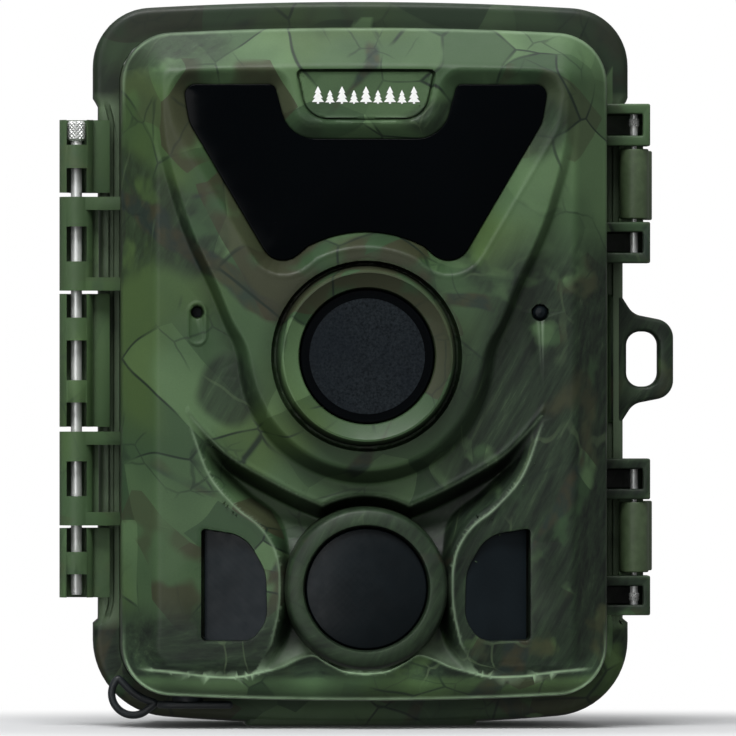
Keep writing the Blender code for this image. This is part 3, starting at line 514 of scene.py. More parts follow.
def window_relief(x, z, surface):
    """Sinks the infrared window's recess and the badge plate."""
    raise_by = MASK_TOP + (MASK_LENS - MASK_TOP) * smoother((118.0 - z) / 50.0)
    window = distance(WINDOW, x, z)
    recess = GLASS_RELIEF + (raise_by - GLASS_RELIEF) * window / 2.4
    recess = np.maximum(recess, GLASS_RELIEF - 0.9)
    bead = 0.08 * np.exp(-(((window - 2.9) / 0.4) ** 2))
    surface = np.where(window < 5.0, soft_min(surface, recess, 0.4) + bead, surface)
    badge_edge = distance(BADGE, x, z)
    return surface - 0.6 * ramp(-badge_edge / 0.5, 0.3) - 0.8 * np.exp(-((badge_edge / 0.22) ** 2))


def small_openings(x, z, surface):
    """Sinks the side sensor windows, the microphone hole in its raised oval and the light sensor's eyelet."""
    for way in (-1, 1):
        eye = distance(eye_outline(way), x, z)
        surface = surface - (eye_depth(np.abs(x)) + 1.4) * ramp(-eye / 0.3, 0.1)
    pill = np.hypot(x + HOLE_X, np.maximum(np.abs(z - HOLE_Z + 2.1) - 2.3, 0.0)) - 1.5
    surface = surface + 0.25 * ramp(-(pill - 0.5) / 0.35, 0.3) - 0.25 * ramp(-pill / 0.35, 0.3)
    hole = np.hypot(x + HOLE_X, z - HOLE_Z) - 1.15
    surface = surface - 3.0 * ramp(-hole / 0.3, 0.3)
    eyelet = np.hypot(x - HOLE_X - 1.1, z - HOLE_Z) - 1.55
    return surface - 1.8 * ramp(-eyelet / 0.3, 0.3)


def eye_depth(side):
    """How deep a side sensor's film lies: flush at its inner edge, sunk at its outer edge."""
    return 0.4 + 2.4 * np.clip((side - 19.0) / 11.9, 0, 1)


# ---------------------------------------------------------------- cover skin


def resample(path, count):
    """A polyline divided into equal steps."""
    path = np.asarray(path, float)
    steps = np.r_[0, np.cumsum(np.linalg.norm(np.diff(path, axis=0), axis=1))]
    at = np.linspace(0, steps[-1], count)
    return np.stack([np.interp(at, steps, path[:, 0]), np.interp(at, steps, path[:, 1])], 1)


def cover_grid(columns, rows):
    """Points on a grid bent to fill the cover's outline, as arrays x and z of shape (rows, columns)."""
    ring = COVER_EDGE
    n = len(ring)
    corner = 6
    quarter = (n + 3) // 4
    upper_right = corner
    upper_left = 2 * (quarter - 1) - corner
    lower_left = 2 * quarter - 1 + corner
    lower_right = n - corner
    top = resample(ring[upper_right : upper_left + 1][::-1], columns)
    left = resample(ring[upper_left : lower_left + 1][::-1], rows)
    bottom = resample(ring[lower_left : lower_right + 1], columns)
    right = resample(np.vstack([ring[lower_right:], ring[: upper_right + 1]]), rows)
    u = np.linspace(0, 1, columns)[None, :, None]
    v = np.linspace(0, 1, rows)[:, None, None]
    sides = (1 - v) * bottom[None] + v * top[None] + (1 - u) * left[:, None] + u * right[:, None]
    corner_part = (1 - u) * (1 - v) * bottom[0] + u * (1 - v) * bottom[-1]
    corner_part = corner_part + (1 - u) * v * top[0] + u * v * top[-1]
    grid = sides - corner_part
    return grid[..., 0], grid[..., 1]


def creases():
    """Distance functions whose zero lines the grid should follow."""
    return [
        lambda x, z: distance(WINDOW, x, z),
        lambda x, z: distance(WINDOW, x, z) - 2.4,
        lambda x, z: LENS_GROOVE_R - np.hypot(x, z - LENS_Z),
        lambda x, z: distance(UPPER_FACE, x, z),
        lambda x, z: distance(hood_outline(1), x, z),
        lambda x, z: distance(hood_outline(-1), x, z),
        lambda x, z: distance(eye_outline(1), x, z),
        lambda x, z: distance(eye_outline(-1), x, z),
        lambda x, z: distance(BADGE, x, z),
        chin_distance,
    ]


def snap(x, z, spacing):
    """Moves grid points that lie close to a crease onto it, so that the edge comes out clean."""
    taken = np.zeros(x.shape, bool)
    taken[0, :] = taken[-1, :] = taken[:, 0] = taken[:, -1] = True
    e = 0.02
    for crease in creases():
        d = crease(x, z)
        near = (np.abs(d) < 0.5 * spacing) & ~taken
        px, pz, pd = x[near], z[near], d[near]
        gx = (crease(px + e, pz) - crease(px - e, pz)) / (2 * e)
        gz = (crease(px, pz + e) - crease(px, pz - e)) / (2 * e)
        steep = np.maximum(gx**2 + gz**2, 0.5)
        x[near] = px - pd * gx / steep
        z[near] = pz - pd * gz / steep
        taken |= near
    return x, z


def edge_light(x, z):
    """Share of painted highlight, 0 to 1: fine bright lines on hood ridges, swoosh, chin and rim, and painted light on
    the valley's foot.
    """
    side = np.abs(x)
    hood, upper = hood_distance(x, z), distance(UPPER_FACE, x, z)
    above = chin_distance(x, z)
    inside = -distance(COVER_EDGE, x, z)
    ridge = 0.75 * np.exp(-((hood / 0.22) ** 2)) * smoother((59.0 - z) / 6.0) * smoother((z - 13.0) / 4.0)
    swoosh = 0.5 * np.exp(-((upper / 0.22) ** 2)) * (side < 33.0) * (z < 60.0)
    chin = 0.9 * np.exp(-((above / 0.22) ** 2)) * smoother((43.0 - side) / 3.0)
    rim_share = np.maximum(smoother((22.0 - z) / 14.0), 0.6 * smoother((z - 112.0) / 10.0))
    rim = np.exp(-((inside / 0.25) ** 2)) * rim_share
    foot = 0.7 * np.clip(1 - above / 5.0, 0, 1) ** 1.5 * (hood > -0.2) * (above > 0) * (upper > 0)
    return np.max([ridge, swoosh, chin, rim, foot], axis=0)


def cover_skin(material):
    """The cover's front and sides as one thin shell, open where the window, lens and sensors sit."""
    columns, rows = 280, 390
    x, z = cover_grid(columns, rows)
    x, z = snap(x, z, 0.33)
    r = relief(x, z)
    index = np.arange(rows * columns).reshape(rows, columns)
    verts = np.stack([x, -r, z], -1).reshape(-1, 3)

    a, b = index[:-1, :-1], index[:-1, 1:]
    c, d = index[1:, 1:], index[1:, :-1]
    mx = (x[:-1, :-1] + x[:-1, 1:] + x[1:, 1:] + x[1:, :-1]) / 4
    mz = (z[:-1, :-1] + z[:-1, 1:] + z[1:, 1:] + z[1:, :-1]) / 4
    true = relief(mx, mz)
    flat = r.reshape(-1)
    use_ac = np.abs((flat[a] + flat[c]) / 2 - true) <= np.abs((flat[b] + flat[d]) / 2 - true)
    open_here = distance(WINDOW, mx, mz) < -1.0
    open_here |= np.hypot(mx, mz - LENS_Z) < 15.0
    open_here |= np.hypot(mx, mz - PIR_Z) < 12.8
    for way in (-1, 1):
        open_here |= distance(eye_outline(way), mx, mz) < -0.8
    keep = ~open_here
    ac, bd = keep & use_ac, keep & ~use_ac
    tris = np.vstack(
        [
            np.stack([a[ac], b[ac], c[ac]], 1),
            np.stack([a[ac], c[ac], d[ac]], 1),
            np.stack([a[bd], b[bd], d[bd]], 1),
            np.stack([b[bd], c[bd], d[bd]], 1),
        ]
    )

    rim = np.r_[index[0, :-1], index[:-1, -1], index[-1, :0:-1], index[:0:-1, 0]]
    edge = verts[rim]
    ahead = np.roll(edge, -1, 0) - np.roll(edge, 1, 0)
    out = np.stack([ahead[:, 2], np.zeros(len(rim)), -ahead[:, 0]], 1)
    out /= np.linalg.norm(out, axis=1)[:, None]
    start = -edge[:, 1].mean()
    wall = [
        (0.2, start - 0.35),
        (0.34, start - 1.0),
        (0.4, start - 2.0),
        (0.4, -COVER_BACK + 0.4),
        (0.28, -COVER_BACK + 0.12),
        (0.0, -COVER_BACK),
    ]
    rings, faces = [rim], []
    count = len(verts)
    extra = []
    for outward, height in wall:
        ring = edge + out * outward
        ring[:, 1] = -height
        extra.append(ring)
        rings.append(np.arange(count, count + len(rim)))
        count += len(rim)
    for near, far in zip(rings, rings[1:]):
        faces.append(np.stack([near, far, np.roll(far, -1), np.roll(near, -1)], 1))
    quads = np.vstack(faces)
    everything = [tuple(t) for t in tris] + [tuple(q) for q in quads]
    skin = add("cover_skin", np.vstack([verts, *extra]), everything, material, smooth=60)
    fix_normals(skin)
    free = np.flatnonzero(edge_light(*front_points(skin)) < 0.02)
    skin.vertex_groups.new(name="free").add(free.tolist(), 1.0, "REPLACE")
    thin = skin.modifiers.new("thin_out", "DECIMATE")
    thin.ratio = 0.42
    thin.vertex_group = "free"
    shell = skin.modifiers.new("shell", "SOLIDIFY")
    shell.thickness = 1.3 * MM
    shell.offset = -1.0
    skin = baked(skin)
    # The painted highlight share, kept per vertex for the material.
    painted_light = skin.data.attributes.new("light_edge", "FLOAT", "POINT")
    painted_light.data.foreach_set("value", edge_light(*front_points(skin)))
    skin.data.shade_smooth()
    skin.data.set_sharp_from_angle(angle=math.radians(50))
    return skin


def front_points(piece):
    """The x and z of a piece's vertices, in mm."""
    flat = np.zeros(len(piece.data.vertices) * 3)
    piece.data.vertices.foreach_get("co", flat)
    return flat[0::3] / MM, flat[2::3] / MM


# ---------------------------------------------------------------- materials


def srgb(r, g, b):
    """A colour given as 0-255 display values, in the linear values that shaders use."""
    return tuple((v / 255 / 12.92) if v <= 10 else ((v / 255 + 0.055) / 1.055) ** 2.4 for v in (r, g, b))


class Tree:
    """A material's nodes, built with short calls. place is the point being shaded, in mm."""

    def __init__(self, name, roughness=0.5, metallic=0.0):
        self.material = bpy.data.materials.new(name)
        self.material.use_nodes = True
        self.nodes = self.material.node_tree.nodes
        self.links = self.material.node_tree.links
        self.shader = self.nodes["Principled BSDF"]
        self.set("Roughness", roughness)
        self.set("Metallic", metallic)
        here = self.node("ShaderNodeTexCoord").outputs["Object"]
        self.place = self.node("ShaderNodeVectorMath", (here,), operation="SCALE", Scale=1000.0).outputs[0]

    def set(self, name, value):
        self.put(self.shader.inputs[name], value)

    def put(self, socket, value):
        if isinstance(value, bpy.types.NodeSocket):
            self.links.new(value, socket)
        elif socket.type == "RGBA":
            socket.default_value = (*value[:3], 1.0)
        else:
            socket.default_value = value

    def node(self, kind, inputs=(), **settings):
        made = self.nodes.new(kind)
        for name, value in settings.items():
            if name in made.inputs and not hasattr(made, name):
                self.put(made.inputs[name], value)
            else:
                setattr(made, name, value)
        for i, value in enumerate(inputs):
            if value is not None:
                self.put(made.inputs[i], value)
        return made

    def math(self, operation, *values, clamp=False):
        return self.node("ShaderNodeMath", values, operation=operation, use_clamp=clamp).outputs[0]

    def axis(self, name, place=None):
        return self.node("ShaderNodeSeparateXYZ", (place or self.place,)).outputs[name]

    def point(self, x, y, z):
        return self.node("ShaderNodeCombineXYZ", (x, y, z)).outputs[0]

    def scaled(self, place, x, y, z):
        return self.node("ShaderNodeVectorMath", (place, (x, y, z)), operation="MULTIPLY").outputs[0]

    def noise(self, place, scale, detail=2.0, roughness=0.5, distortion=0.0):
        made = self.node("ShaderNodeTexNoise", Vector=place, Scale=scale, Detail=detail)
        made.inputs["Roughness"].default_value = roughness
        made.inputs["Distortion"].default_value = distortion
        return made.outputs[0]

    def warped(self, place, scale, amount, detail=3.0):
        made = self.node("ShaderNodeTexNoise", Vector=place, Scale=scale, Detail=detail)
        centred = self.node("ShaderNodeVectorMath", (made.outputs[1], (0.5,) * 3), operation="SUBTRACT")
        centred = centred.outputs[0]
        push = self.scaled(centred, amount, amount, amount)
        return self.node("ShaderNodeVectorMath", (place, push), operation="ADD").outputs[0]

    def cells(self, place, scale, output="Color", feature="F1"):
        made = self.node("ShaderNodeTexVoronoi", feature=feature)
        self.put(made.inputs["Vector"], place)
        made.inputs["Scale"].default_value = scale
        return made.outputs[output]

    def span(self, value, low, high, to_low=0.0, to_high=1.0, smooth=False):
        """value moved from low..high to to_low..to_high, and held at the ends."""
        made = self.node("ShaderNodeMapRange", (value, low, high, to_low, to_high), clamp=True)
        made.interpolation_type = "SMOOTHSTEP" if smooth else "LINEAR"
        return made.outputs[0]

    def mix(self, share, a, b, blend="MIX"):
        made = self.node("ShaderNodeMix", data_type="RGBA", blend_type=blend)
        self.put(made.inputs[0], share)
        self.put(made.inputs[6], a)
        self.put(made.inputs[7], b)
        return made.outputs[2]

    def cell_edges(self, place, scale):
        return self.cells(place, scale, "Distance", "DISTANCE_TO_EDGE")

    def times(self, *values, **options):
        return self.math("MULTIPLY", *values, **options)

    def plus(self, *values):
        return self.math("ADD", *values)

    def painted_light(self, colour, lighter, share=0.45, depth=5.0, darkest=0.2):
        """The colour with painted shade in hollows and on steep undersides, and painted highlight along raised edges.
        """
        # Painted shade: ambient occlusion darkens hollows, creases and gaps between parts.
        hidden = self.node("ShaderNodeAmbientOcclusion", samples=6, Distance=depth * MM).outputs["AO"]
        painted_shade = self.math("MAXIMUM", self.math("POWER", hidden, 1.25), darkest)
        # Painted shade: steep downward-facing walls are darkened as if in shadow from the overhead light.
        facing = self.axis("Z", self.node("ShaderNodeNewGeometry").outputs["Normal"])
        painted_shade = self.math("MULTIPLY", painted_shade, self.span(facing, -0.55, -0.78, 1.0, 0.36))
        colour = self.mix(1.0, colour, self.point(painted_shade, painted_shade, painted_shade), "MULTIPLY")
        # Painted highlight: convex edges are lightened by pointiness.
        ridge = self.span(self.node("ShaderNodeNewGeometry").outputs["Pointiness"], 0.53, 0.62, 0.0, share)
        colour = self.mix(ridge, colour, lighter)
        # Painted highlight: the light_edge lines, broken up in patches.
        marked = self.node("ShaderNodeAttribute", attribute_name="light_edge").outputs["Fac"]
        patchy = self.span(self.noise(self.place, 0.25, 3.0), 0.3, 0.6, 0.45, 0.85)
        return self.mix(self.math("MULTIPLY", marked, patchy), colour, EDGE_HIGHLIGHT)

    def bump(self, height, distance, strength=1.0):
        """height in 0-1 raised by distance, in mm."""
        made = self.node("ShaderNodeBump", Height=height, Distance=distance * MM, Strength=strength)
        self.set("Normal", made.outputs[0])


GREENS = {
    "light": srgb(90, 118, 80),
    "mid": srgb(70, 95, 63),
    "deep": srgb(50, 74, 48),
    "moss": srgb(76, 98, 44),
    "brown": srgb(56, 54, 38),
    "slate": srgb(34, 46, 42),
    "bark": srgb(42, 58, 41),
    "bark_light": srgb(70, 86, 63),
    "bark_dark": srgb(22, 31, 24),
    "line": srgb(22, 36, 28),
    "twig": srgb(100, 120, 86),
}


# Pale green of the painted highlight lines along raised edges.
EDGE_HIGHLIGHT = srgb(134, 158, 128)
# Pale green painted on the rear flange in place of light it does not receive.
FLANGE_PAINTED_LIGHT = srgb(104, 124, 96)


def camo(name, dark_hoods=False):
    """Moulded plastic printed with leaf fields, thin twig lines, a soft branch and bark, with painted shade and
    painted highlight laid over it.
    """
    t = Tree(name)
    x, z = t.axis("X"), t.axis("Z")
    flat = t.scaled(t.place, 1.0, 0.75, 1.0)
    bent = t.warped(flat, 0.02, 26.0, 1.5)
    fields = t.warped(bent, 0.06, 4.0, 1.0)
    colour = leaf_fields(t, flat, bent, fields)

    bark, level_share = bark_places(t, flat, bent, x, z)
    colour = t.mix(bark, colour, bark_print(t, x, z, level_share))
    colour = t.mix(branches(t, flat, bent, x, z), colour, branch_print(t, bent))

    edge = t.cell_edges(fields, 0.062)
    fine = t.cell_edges(t.warped(bent, 0.1, 3.0), 0.11)
    strength = t.span(t.noise(flat, 0.07, 2.0), 0.44, 0.6, 0.0, 0.9, smooth=True)
    line = t.times(t.span(edge, 0.022, 0.004, smooth=True), strength)
    faint = t.span(t.noise(bent, 0.05, 1.0), 0.56, 0.62, 0.0, 0.5)
    thin = t.times(t.span(fine, 0.03, 0.005, smooth=True), faint)
    line = t.times(t.math("MAXIMUM", line, thin), t.math("SUBTRACT", 1.0, t.times(bark, 0.6)))
    colour = t.mix(line, colour, GREENS["line"])
    stretched = t.warped(t.scaled(bent, 1.0, 1.0, 0.45), 0.08, 9.0, 2.0)
    curved = t.cell_edges(stretched, 0.05)
    twig = t.times(t.span(curved, 0.012, 0.004, smooth=True), t.span(t.noise(flat, 0.06, 2.0), 0.48, 0.6))
    colour = t.mix(t.times(t.times(twig, bark), 0.3), colour, GREENS["twig"])

    if dark_hoods:
        colour = t.mix(t.span(z, 117.0, 119.0, 0.0, 0.7), colour, GREENS["bark_dark"])
        # Painted light: the rim flange beside the cover, which lies in the cover's shadow, is lightened.
        flange = t.times(t.span(t.math("ABSOLUTE", x), 44.5, 45.5), t.span(z, 120.0, 117.0))
        flange = t.times(flange, t.span(z, 18.0, 20.5))
        flange = t.times(flange, t.span(t.axis("Y"), PARTING + 2.6, PARTING + 1.8))
        colour = t.mix(t.times(flange, 0.85), colour, FLANGE_PAINTED_LIGHT)
    speck = t.noise(t.place, 3.0, 3.0, 0.7)
    colour = t.mix(t.span(speck, 0.3, 0.7, 0.0, 0.12), colour, GREENS["bark_dark"])
    # Reach and floor of the painted shade in hollows; lighter on the rear shell.
    depth, darkest = (2.5, 0.7) if dark_hoods else (5.0, 0.32)
    t.set("Base Color", t.painted_light(colour, GREENS["light"], depth=depth, darkest=darkest))
    t.set("Roughness", t.span(t.noise(t.place, 0.4, 4.0), 0.3, 0.7, 0.42, 0.54))
    t.set("Specular IOR Level", 0.3)
    t.bump(t.noise(t.place, 5.0, 2.0, 0.6), 0.012)
    return t.material


def leaf_fields(t, flat, bent, fields):
    """Large fields with straight edges in greens, with mossy clouds and a few brown patches."""
    tone = t.axis("X", t.cells(fields, 0.062))
    colour = t.mix(t.span(tone, 0.1, 0.5), GREENS["deep"], GREENS["mid"])
    colour = t.mix(t.span(tone, 0.55, 1.0), colour, GREENS["light"])
    blush = t.span(t.noise(flat, 0.035, 1.0), 0.52, 0.66, smooth=True)
    colour = t.mix(t.times(blush, 0.5), colour, GREENS["moss"])
    shade = t.span(t.noise(bent, 0.05, 2.0), 0.45, 0.65, smooth=True)
    colour = t.mix(t.times(shade, 0.45), colour, GREENS["deep"])
    second = t.axis("Z", t.cells(fields, 0.05))
    patch = t.times(t.span(second, 0.76, 0.8), t.span(t.noise(flat, 0.09, 2.0), 0.38, 0.5, smooth=True))
    return t.mix(t.times(patch, 0.8), colour, GREENS["brown"])


def bark_places(t, flat, bent, x, z):
    """Where the bark is printed: right side, lower left corner, round the middle sensor, and strays."""
    right = t.span(t.plus(x, t.times(z, -0.25)), -6.0, 8.0, smooth=True)
    right = t.times(right, t.span(z, 98.0, 84.0, smooth=True))
    level_share = t.times(t.span(z, 26.0, 18.0, smooth=True), t.span(x, 4.0, -8.0, smooth=True))
    below = t.math("SUBTRACT", z, PIR_Z)
    off_centre = t.math("SQRT", t.plus(t.times(x, x), t.times(below, below)))
    sensor = t.times(t.span(off_centre, 15.8, 15.3, smooth=True), 0.9)
    stray = t.span(t.noise(flat, 0.03, 1.0, distortion=0.4), 0.56, 0.62, smooth=True)
    bark = t.math("MAXIMUM", t.math("MAXIMUM", right, level_share), t.times(stray, 0.8))
    ragged = t.span(t.noise(bent, 0.11, 3.0), 0.3, 0.46, smooth=True)
    bark = t.times(bark, ragged, clamp=True)
    bark = t.math("MAXIMUM", bark, t.times(level_share, 0.9))
    bark = t.times(bark, t.span(z, 8.5, 10.5, 0.25, 1.0, smooth=True))
    return t.math("MAXIMUM", bark, sensor), level_share


def bark_print(t, x, z, level_share):
    """Fine streaks, leaning to the right, or lying level in the lower left corner."""
    upright = t.point(t.plus(x, t.times(z, -0.55)), t.axis("Y"), t.times(z, 0.14))
    level = t.point(t.times(x, 0.2), t.axis("Y"), t.plus(z, t.times(x, -0.15)))
    grain = t.noise(t.warped(upright, 0.05, 8.0, 1.0), 0.5, 6.0, 0.7)
    grain_low = t.noise(t.warped(level, 0.05, 6.0, 1.0), 0.45, 6.0, 0.68)
    keep = t.math("SUBTRACT", 1.0, level_share)
    grain = t.plus(t.times(grain, keep), t.times(grain_low, level_share))
    colour = t.mix(t.span(grain, 0.38, 0.6), GREENS["bark_dark"], GREENS["bark"])
    return t.mix(t.span(grain, 0.6, 0.74), colour, GREENS["bark_light"])


def branches(t, flat, bent, x, z):
    """One leaning limb on the left, and thinner crossing ones, as a share."""
    along = t.plus(t.plus(z, t.times(x, 0.85)), -61.5)
    wander = t.times(t.math("SUBTRACT", t.noise(flat, 0.06, 3.0), 0.5), 14.0)
    limb = t.math("ABSOLUTE", t.plus(along, wander))
    limb = t.times(t.span(limb, 3.4, 2.0, smooth=True), t.span(x, -14.0, -20.0, smooth=True))
    branch = t.cell_edges(t.warped(bent, 0.05, 7.0), 0.021)
    thick = t.span(t.noise(flat, 0.045, 1.0), 0.35, 0.65, 0.0, 0.04)
    other = t.span(t.math("SUBTRACT", branch, thick), 0.01, -0.01, smooth=True)
    present = t.span(t.noise(t.scaled(flat, 1.0, 1.0, 0.6), 0.05, 1.0), 0.5, 0.56, smooth=True)
    return t.times(t.math("MAXIMUM", limb, t.times(other, present)), 0.8)


def branch_print(t, bent):
    return t.mix(t.span(t.noise(bent, 0.3, 4.0), 0.4, 0.6), GREENS["slate"], GREENS["brown"])


def plastic(name, colour, roughness=0.5, grain=0.02, sheen=0.12):
    """Moulded plastic with a fine eroded texture."""
    t = Tree(name)
    mottle = t.noise(t.place, 0.6, 4.0, 0.6)
    lighter = tuple(min(1.0, c * 1.5 + 0.003) for c in colour)
    t.set("Base Color", t.mix(t.span(mottle, 0.3, 0.75), colour, lighter))
    t.set("Roughness", t.span(mottle, 0.3, 0.7, roughness - sheen / 2, roughness + sheen / 2))
    t.bump(t.noise(t.place, 4.0, 3.0, 0.6), grain)
    return t.material


def window_material():
    """Infrared-pass acrylic: nearly black, glossy, with a few dust specks."""
    t = Tree("ir_acrylic")
    dust = t.cells(t.place, 0.5, "Distance")
    speck = t.times(t.span(dust, 0.05, 0.03), t.span(t.noise(t.place, 0.1, 2.0), 0.55, 0.6))
    t.set("Base Color", t.mix(t.times(speck, 0.3), srgb(2, 4, 6), srgb(20, 24, 30)))
    t.set("Roughness", t.span(t.noise(t.place, 0.2, 4.0), 0.3, 0.7, 0.08, 0.14))
    t.set("Specular IOR Level", 0.06)
    return t.material


def film_material(name, colour):
    """Moulded sensor film: smoky polyethylene with fine square facets."""
    t = Tree(name)
    x, z = t.axis("X"), t.axis("Z")
    cloud = t.noise(t.place, 0.12, 2.0)
    cross = t.times(t.math("SINE", t.times(x, 4.2)), t.math("SINE", t.times(z, 4.2)))
    lighter = tuple(c * 1.35 for c in colour)
    t.set("Base Color", t.mix(t.span(cloud, 0.35, 0.7), colour, lighter))
    t.set("Roughness", t.span(t.noise(t.place, 0.5, 3.0), 0.3, 0.7, 0.3, 0.42))
    t.set("Specular IOR Level", 0.15)
    t.bump(t.span(cross, -1.0, 1.0), 0.008)
    return t.material


def lens_glass_material():
    """The lens cover: speckled smoky glass inside a printed black border."""
    t = Tree("lens_cover_glass")
    x, z = t.axis("X"), t.math("SUBTRACT", t.axis("Z"), LENS_Z)
    radius = t.math("SQRT", t.plus(t.times(x, x), t.times(z, z)))
    border = t.span(radius, LENS_CLEAR_R - 0.05, LENS_CLEAR_R + 0.05)
    grain = t.noise(t.place, 2.2, 6.0, 0.75)
    cloud = t.noise(t.place, 0.12, 3.0)
    glass = t.mix(t.span(grain, 0.38, 0.62), srgb(12, 16, 19), srgb(36, 42, 46))
    glass = t.mix(t.span(cloud, 0.35, 0.65, 0.0, 0.5), glass, srgb(20, 25, 31))
    t.set("Base Color", t.mix(border, glass, srgb(2, 4, 6)))
    t.set("Roughness", t.plus(t.times(border, -0.15), 0.38))
    t.set("Specular IOR Level", 0.08)
    t.bump(grain, 0.004)
    return t.material


def metal(name, colour, roughness=0.25, brushed=(1.0, 1.0, 0.06)):
    """Drawn or turned metal with fine marks along one direction."""
    t = Tree(name, metallic=0.5)
    marks = t.noise(t.scaled(t.place, *brushed), 3.0, 4.0, 0.6)
    stain = t.noise(t.place, 0.25, 3.0)
    darker = tuple(c * 0.62 for c in colour)
    t.set("Base Color", t.mix(t.span(stain, 0.35, 0.7, 0.0, 0.6), colour, darker))
    t.set("Roughness", t.span(marks, 0.3, 0.7, roughness, roughness + 0.18))
    t.bump(marks, 0.006)
    return t.material


def rubber_material(name, colour):
    t = Tree(name)
    bloom = t.noise(t.place, 0.5, 4.0)
    lighter = tuple(c * 1.6 + 0.004 for c in colour)
    t.set("Base Color", t.mix(t.span(bloom, 0.4, 0.75), colour, lighter))
    t.set("Roughness", t.span(bloom, 0.3, 0.7, 0.42, 0.62))
    t.bump(t.noise(t.place, 3.0, 3.0), 0.015)
    return t.material


def circuit_material():
    """Green solder mask over copper tracks, with round pads."""
    t = Tree("solder_mask")
    x, z = t.axis("X"), t.axis("Z")
    track = t.cell_edges(t.point(t.math("SNAP", x, 0.9), 0.0, z), 0.35)
    pads = t.cells(t.place, 0.45, "Distance")
    colour = t.mix(t.span(track, 0.1, 0.06), srgb(12, 62, 34), srgb(26, 92, 50))
    colour = t.mix(t.span(pads, 0.16, 0.14), colour, srgb(190, 180, 150))
    t.set("Base Color", colour)
    t.set("Metallic", t.span(pads, 0.16, 0.14, 0.0, 0.8))
    t.set("Roughness", 0.35)
    t.bump(t.span(track, 0.1, 0.06), 0.03)
    return t.material


def paint_material():
    """White pad print, a little rubbed."""
    t = Tree("white_print")
    wear = t.noise(t.place, 2.0, 4.0, 0.6)
    t.set("Base Color", t.mix(t.span(wear, 0.6, 0.8), srgb(252, 253, 252), srgb(205, 212, 205)))
    t.set("Roughness", t.span(wear, 0.3, 0.7, 0.35, 0.5))
    return t.material


def screen_material():
    """The display's window: black printed border, dull green-grey screen with faint segments, clear gloss."""
    t = Tree("display_glass")
    low, high = corners("display_window")
    x, z = t.axis("X"), t.math("SUBTRACT", t.axis("Z"), (low[2] + high[2]) / 2)
    wide, tall = (high[0] - low[0]) / 2 - 5.0, (high[2] - low[2]) / 2 - 4.5
    across = t.math("SUBTRACT", t.math("ABSOLUTE", x), wide)
    along = t.math("SUBTRACT", t.math("ABSOLUTE", z), tall)
    border = t.span(t.math("MAXIMUM", across, along), -0.05, 0.05)
    rows = t.span(t.math("SINE", t.times(z, 12.0)), -0.2, 0.2)
    cloud = t.noise(t.place, 0.06, 2.0)
    glass = t.mix(t.span(cloud, 0.3, 0.7), srgb(44, 52, 54), srgb(62, 72, 72))
    glass = t.mix(t.times(rows, 0.12), glass, srgb(26, 32, 34))
    t.set("Base Color", t.mix(border, glass, srgb(9, 10, 11)))
    t.set("Roughness", t.span(t.noise(t.place, 0.3, 4.0), 0.35, 0.7, 0.06, 0.16))
    return t.material


def sleeve_material(name, colour, ring):
    """A cell's shrink sleeve: printed film with fine rings and scuffs."""
    t = Tree(name)
    scuff = t.noise(t.scaled(t.place, 1.0, 1.0, 0.15), 1.6, 5.0, 0.7)
    rings = t.span(t.math("SINE", t.times(t.axis("Z"), 2.1)), 0.86, 0.92)
    base = t.mix(t.times(rings, 0.5), colour, ring)
    scuffed = tuple(c * 1.5 + 0.02 for c in colour)
    t.set("Base Color", t.mix(t.span(scuff, 0.62, 0.78, 0.0, 0.5), base, scuffed))
    t.set("Roughness", t.span(scuff, 0.3, 0.7, 0.22, 0.4))
    t.bump(scuff, 0.01)
    return t.material


LENS_CLEAR_R = 10.8
CONTACT_STRIP = 1.0
CAMO = camo("camo_plastic")
REAR_CAMO = camo("rear_camo_plastic", dark_hoods=True)
LATCH_PLASTIC = plastic("latch_plastic", srgb(66, 82, 56), 0.48)
BLACK = plastic("black_plastic", srgb(22, 23, 24), 0.5)
STEEL = metal("steel", srgb(228, 230, 228), 0.28)
BRASS = metal("brass", srgb(212, 172, 96), 0.25)
RUBBER = rubber_material("rubber", srgb(24, 30, 33))
SILICONE = rubber_material("silicone", srgb(120, 124, 122))
SENSOR_FILM = film_material("sensor_film", srgb(14, 20, 23))
SIDE_FILM = film_material("side_sensor_film", srgb(18, 25, 29))
ACRYLIC = window_material()
GLASS = lens_glass_material()
CIRCUIT = circuit_material()
WHITE = paint_material()
SCREEN = screen_material()
SLEEVE = sleeve_material("cell_sleeve", srgb(92, 104, 112), srgb(150, 160, 164))
BAND = sleeve_material("cell_band", srgb(36, 92, 84), srgb(90, 150, 136))
FIBRE = plastic("fibre_board", srgb(78, 62, 44), 0.6)


# ---------------------------------------------------------------- riding and standing in for CAD nodes


def attach(piece, body, slot, *nodes):
    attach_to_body(piece, body)
    if nodes:
        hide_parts(*nodes)
    return piece


def block(name, low, high, material=None, bevel=0.3, cuts=(), rods=(), segments=3):
    """A box between two corners with holes cut through it and every edge rounded."""
    low, high = np.array(low, float), np.array(high, float)
    bm = bmesh.new()
    bmesh.ops.create_cube(bm, size=1.0)
    bmesh.ops.transform(
        bm,
        matrix=Matrix.Translation(Vector((low + high) / 2) * MM) @ Matrix.Diagonal((*((high - low) * MM), 1.0)),
        verts=bm.verts,
    )
    mesh = bpy.data.meshes.new(name)
    bm.to_mesh(mesh)
    bm.free()
    piece = bpy.data.objects.new(name, mesh)
    bpy.context.scene.collection.objects.link(piece)
    return carved(piece, material, bevel, cuts, rods, segments)


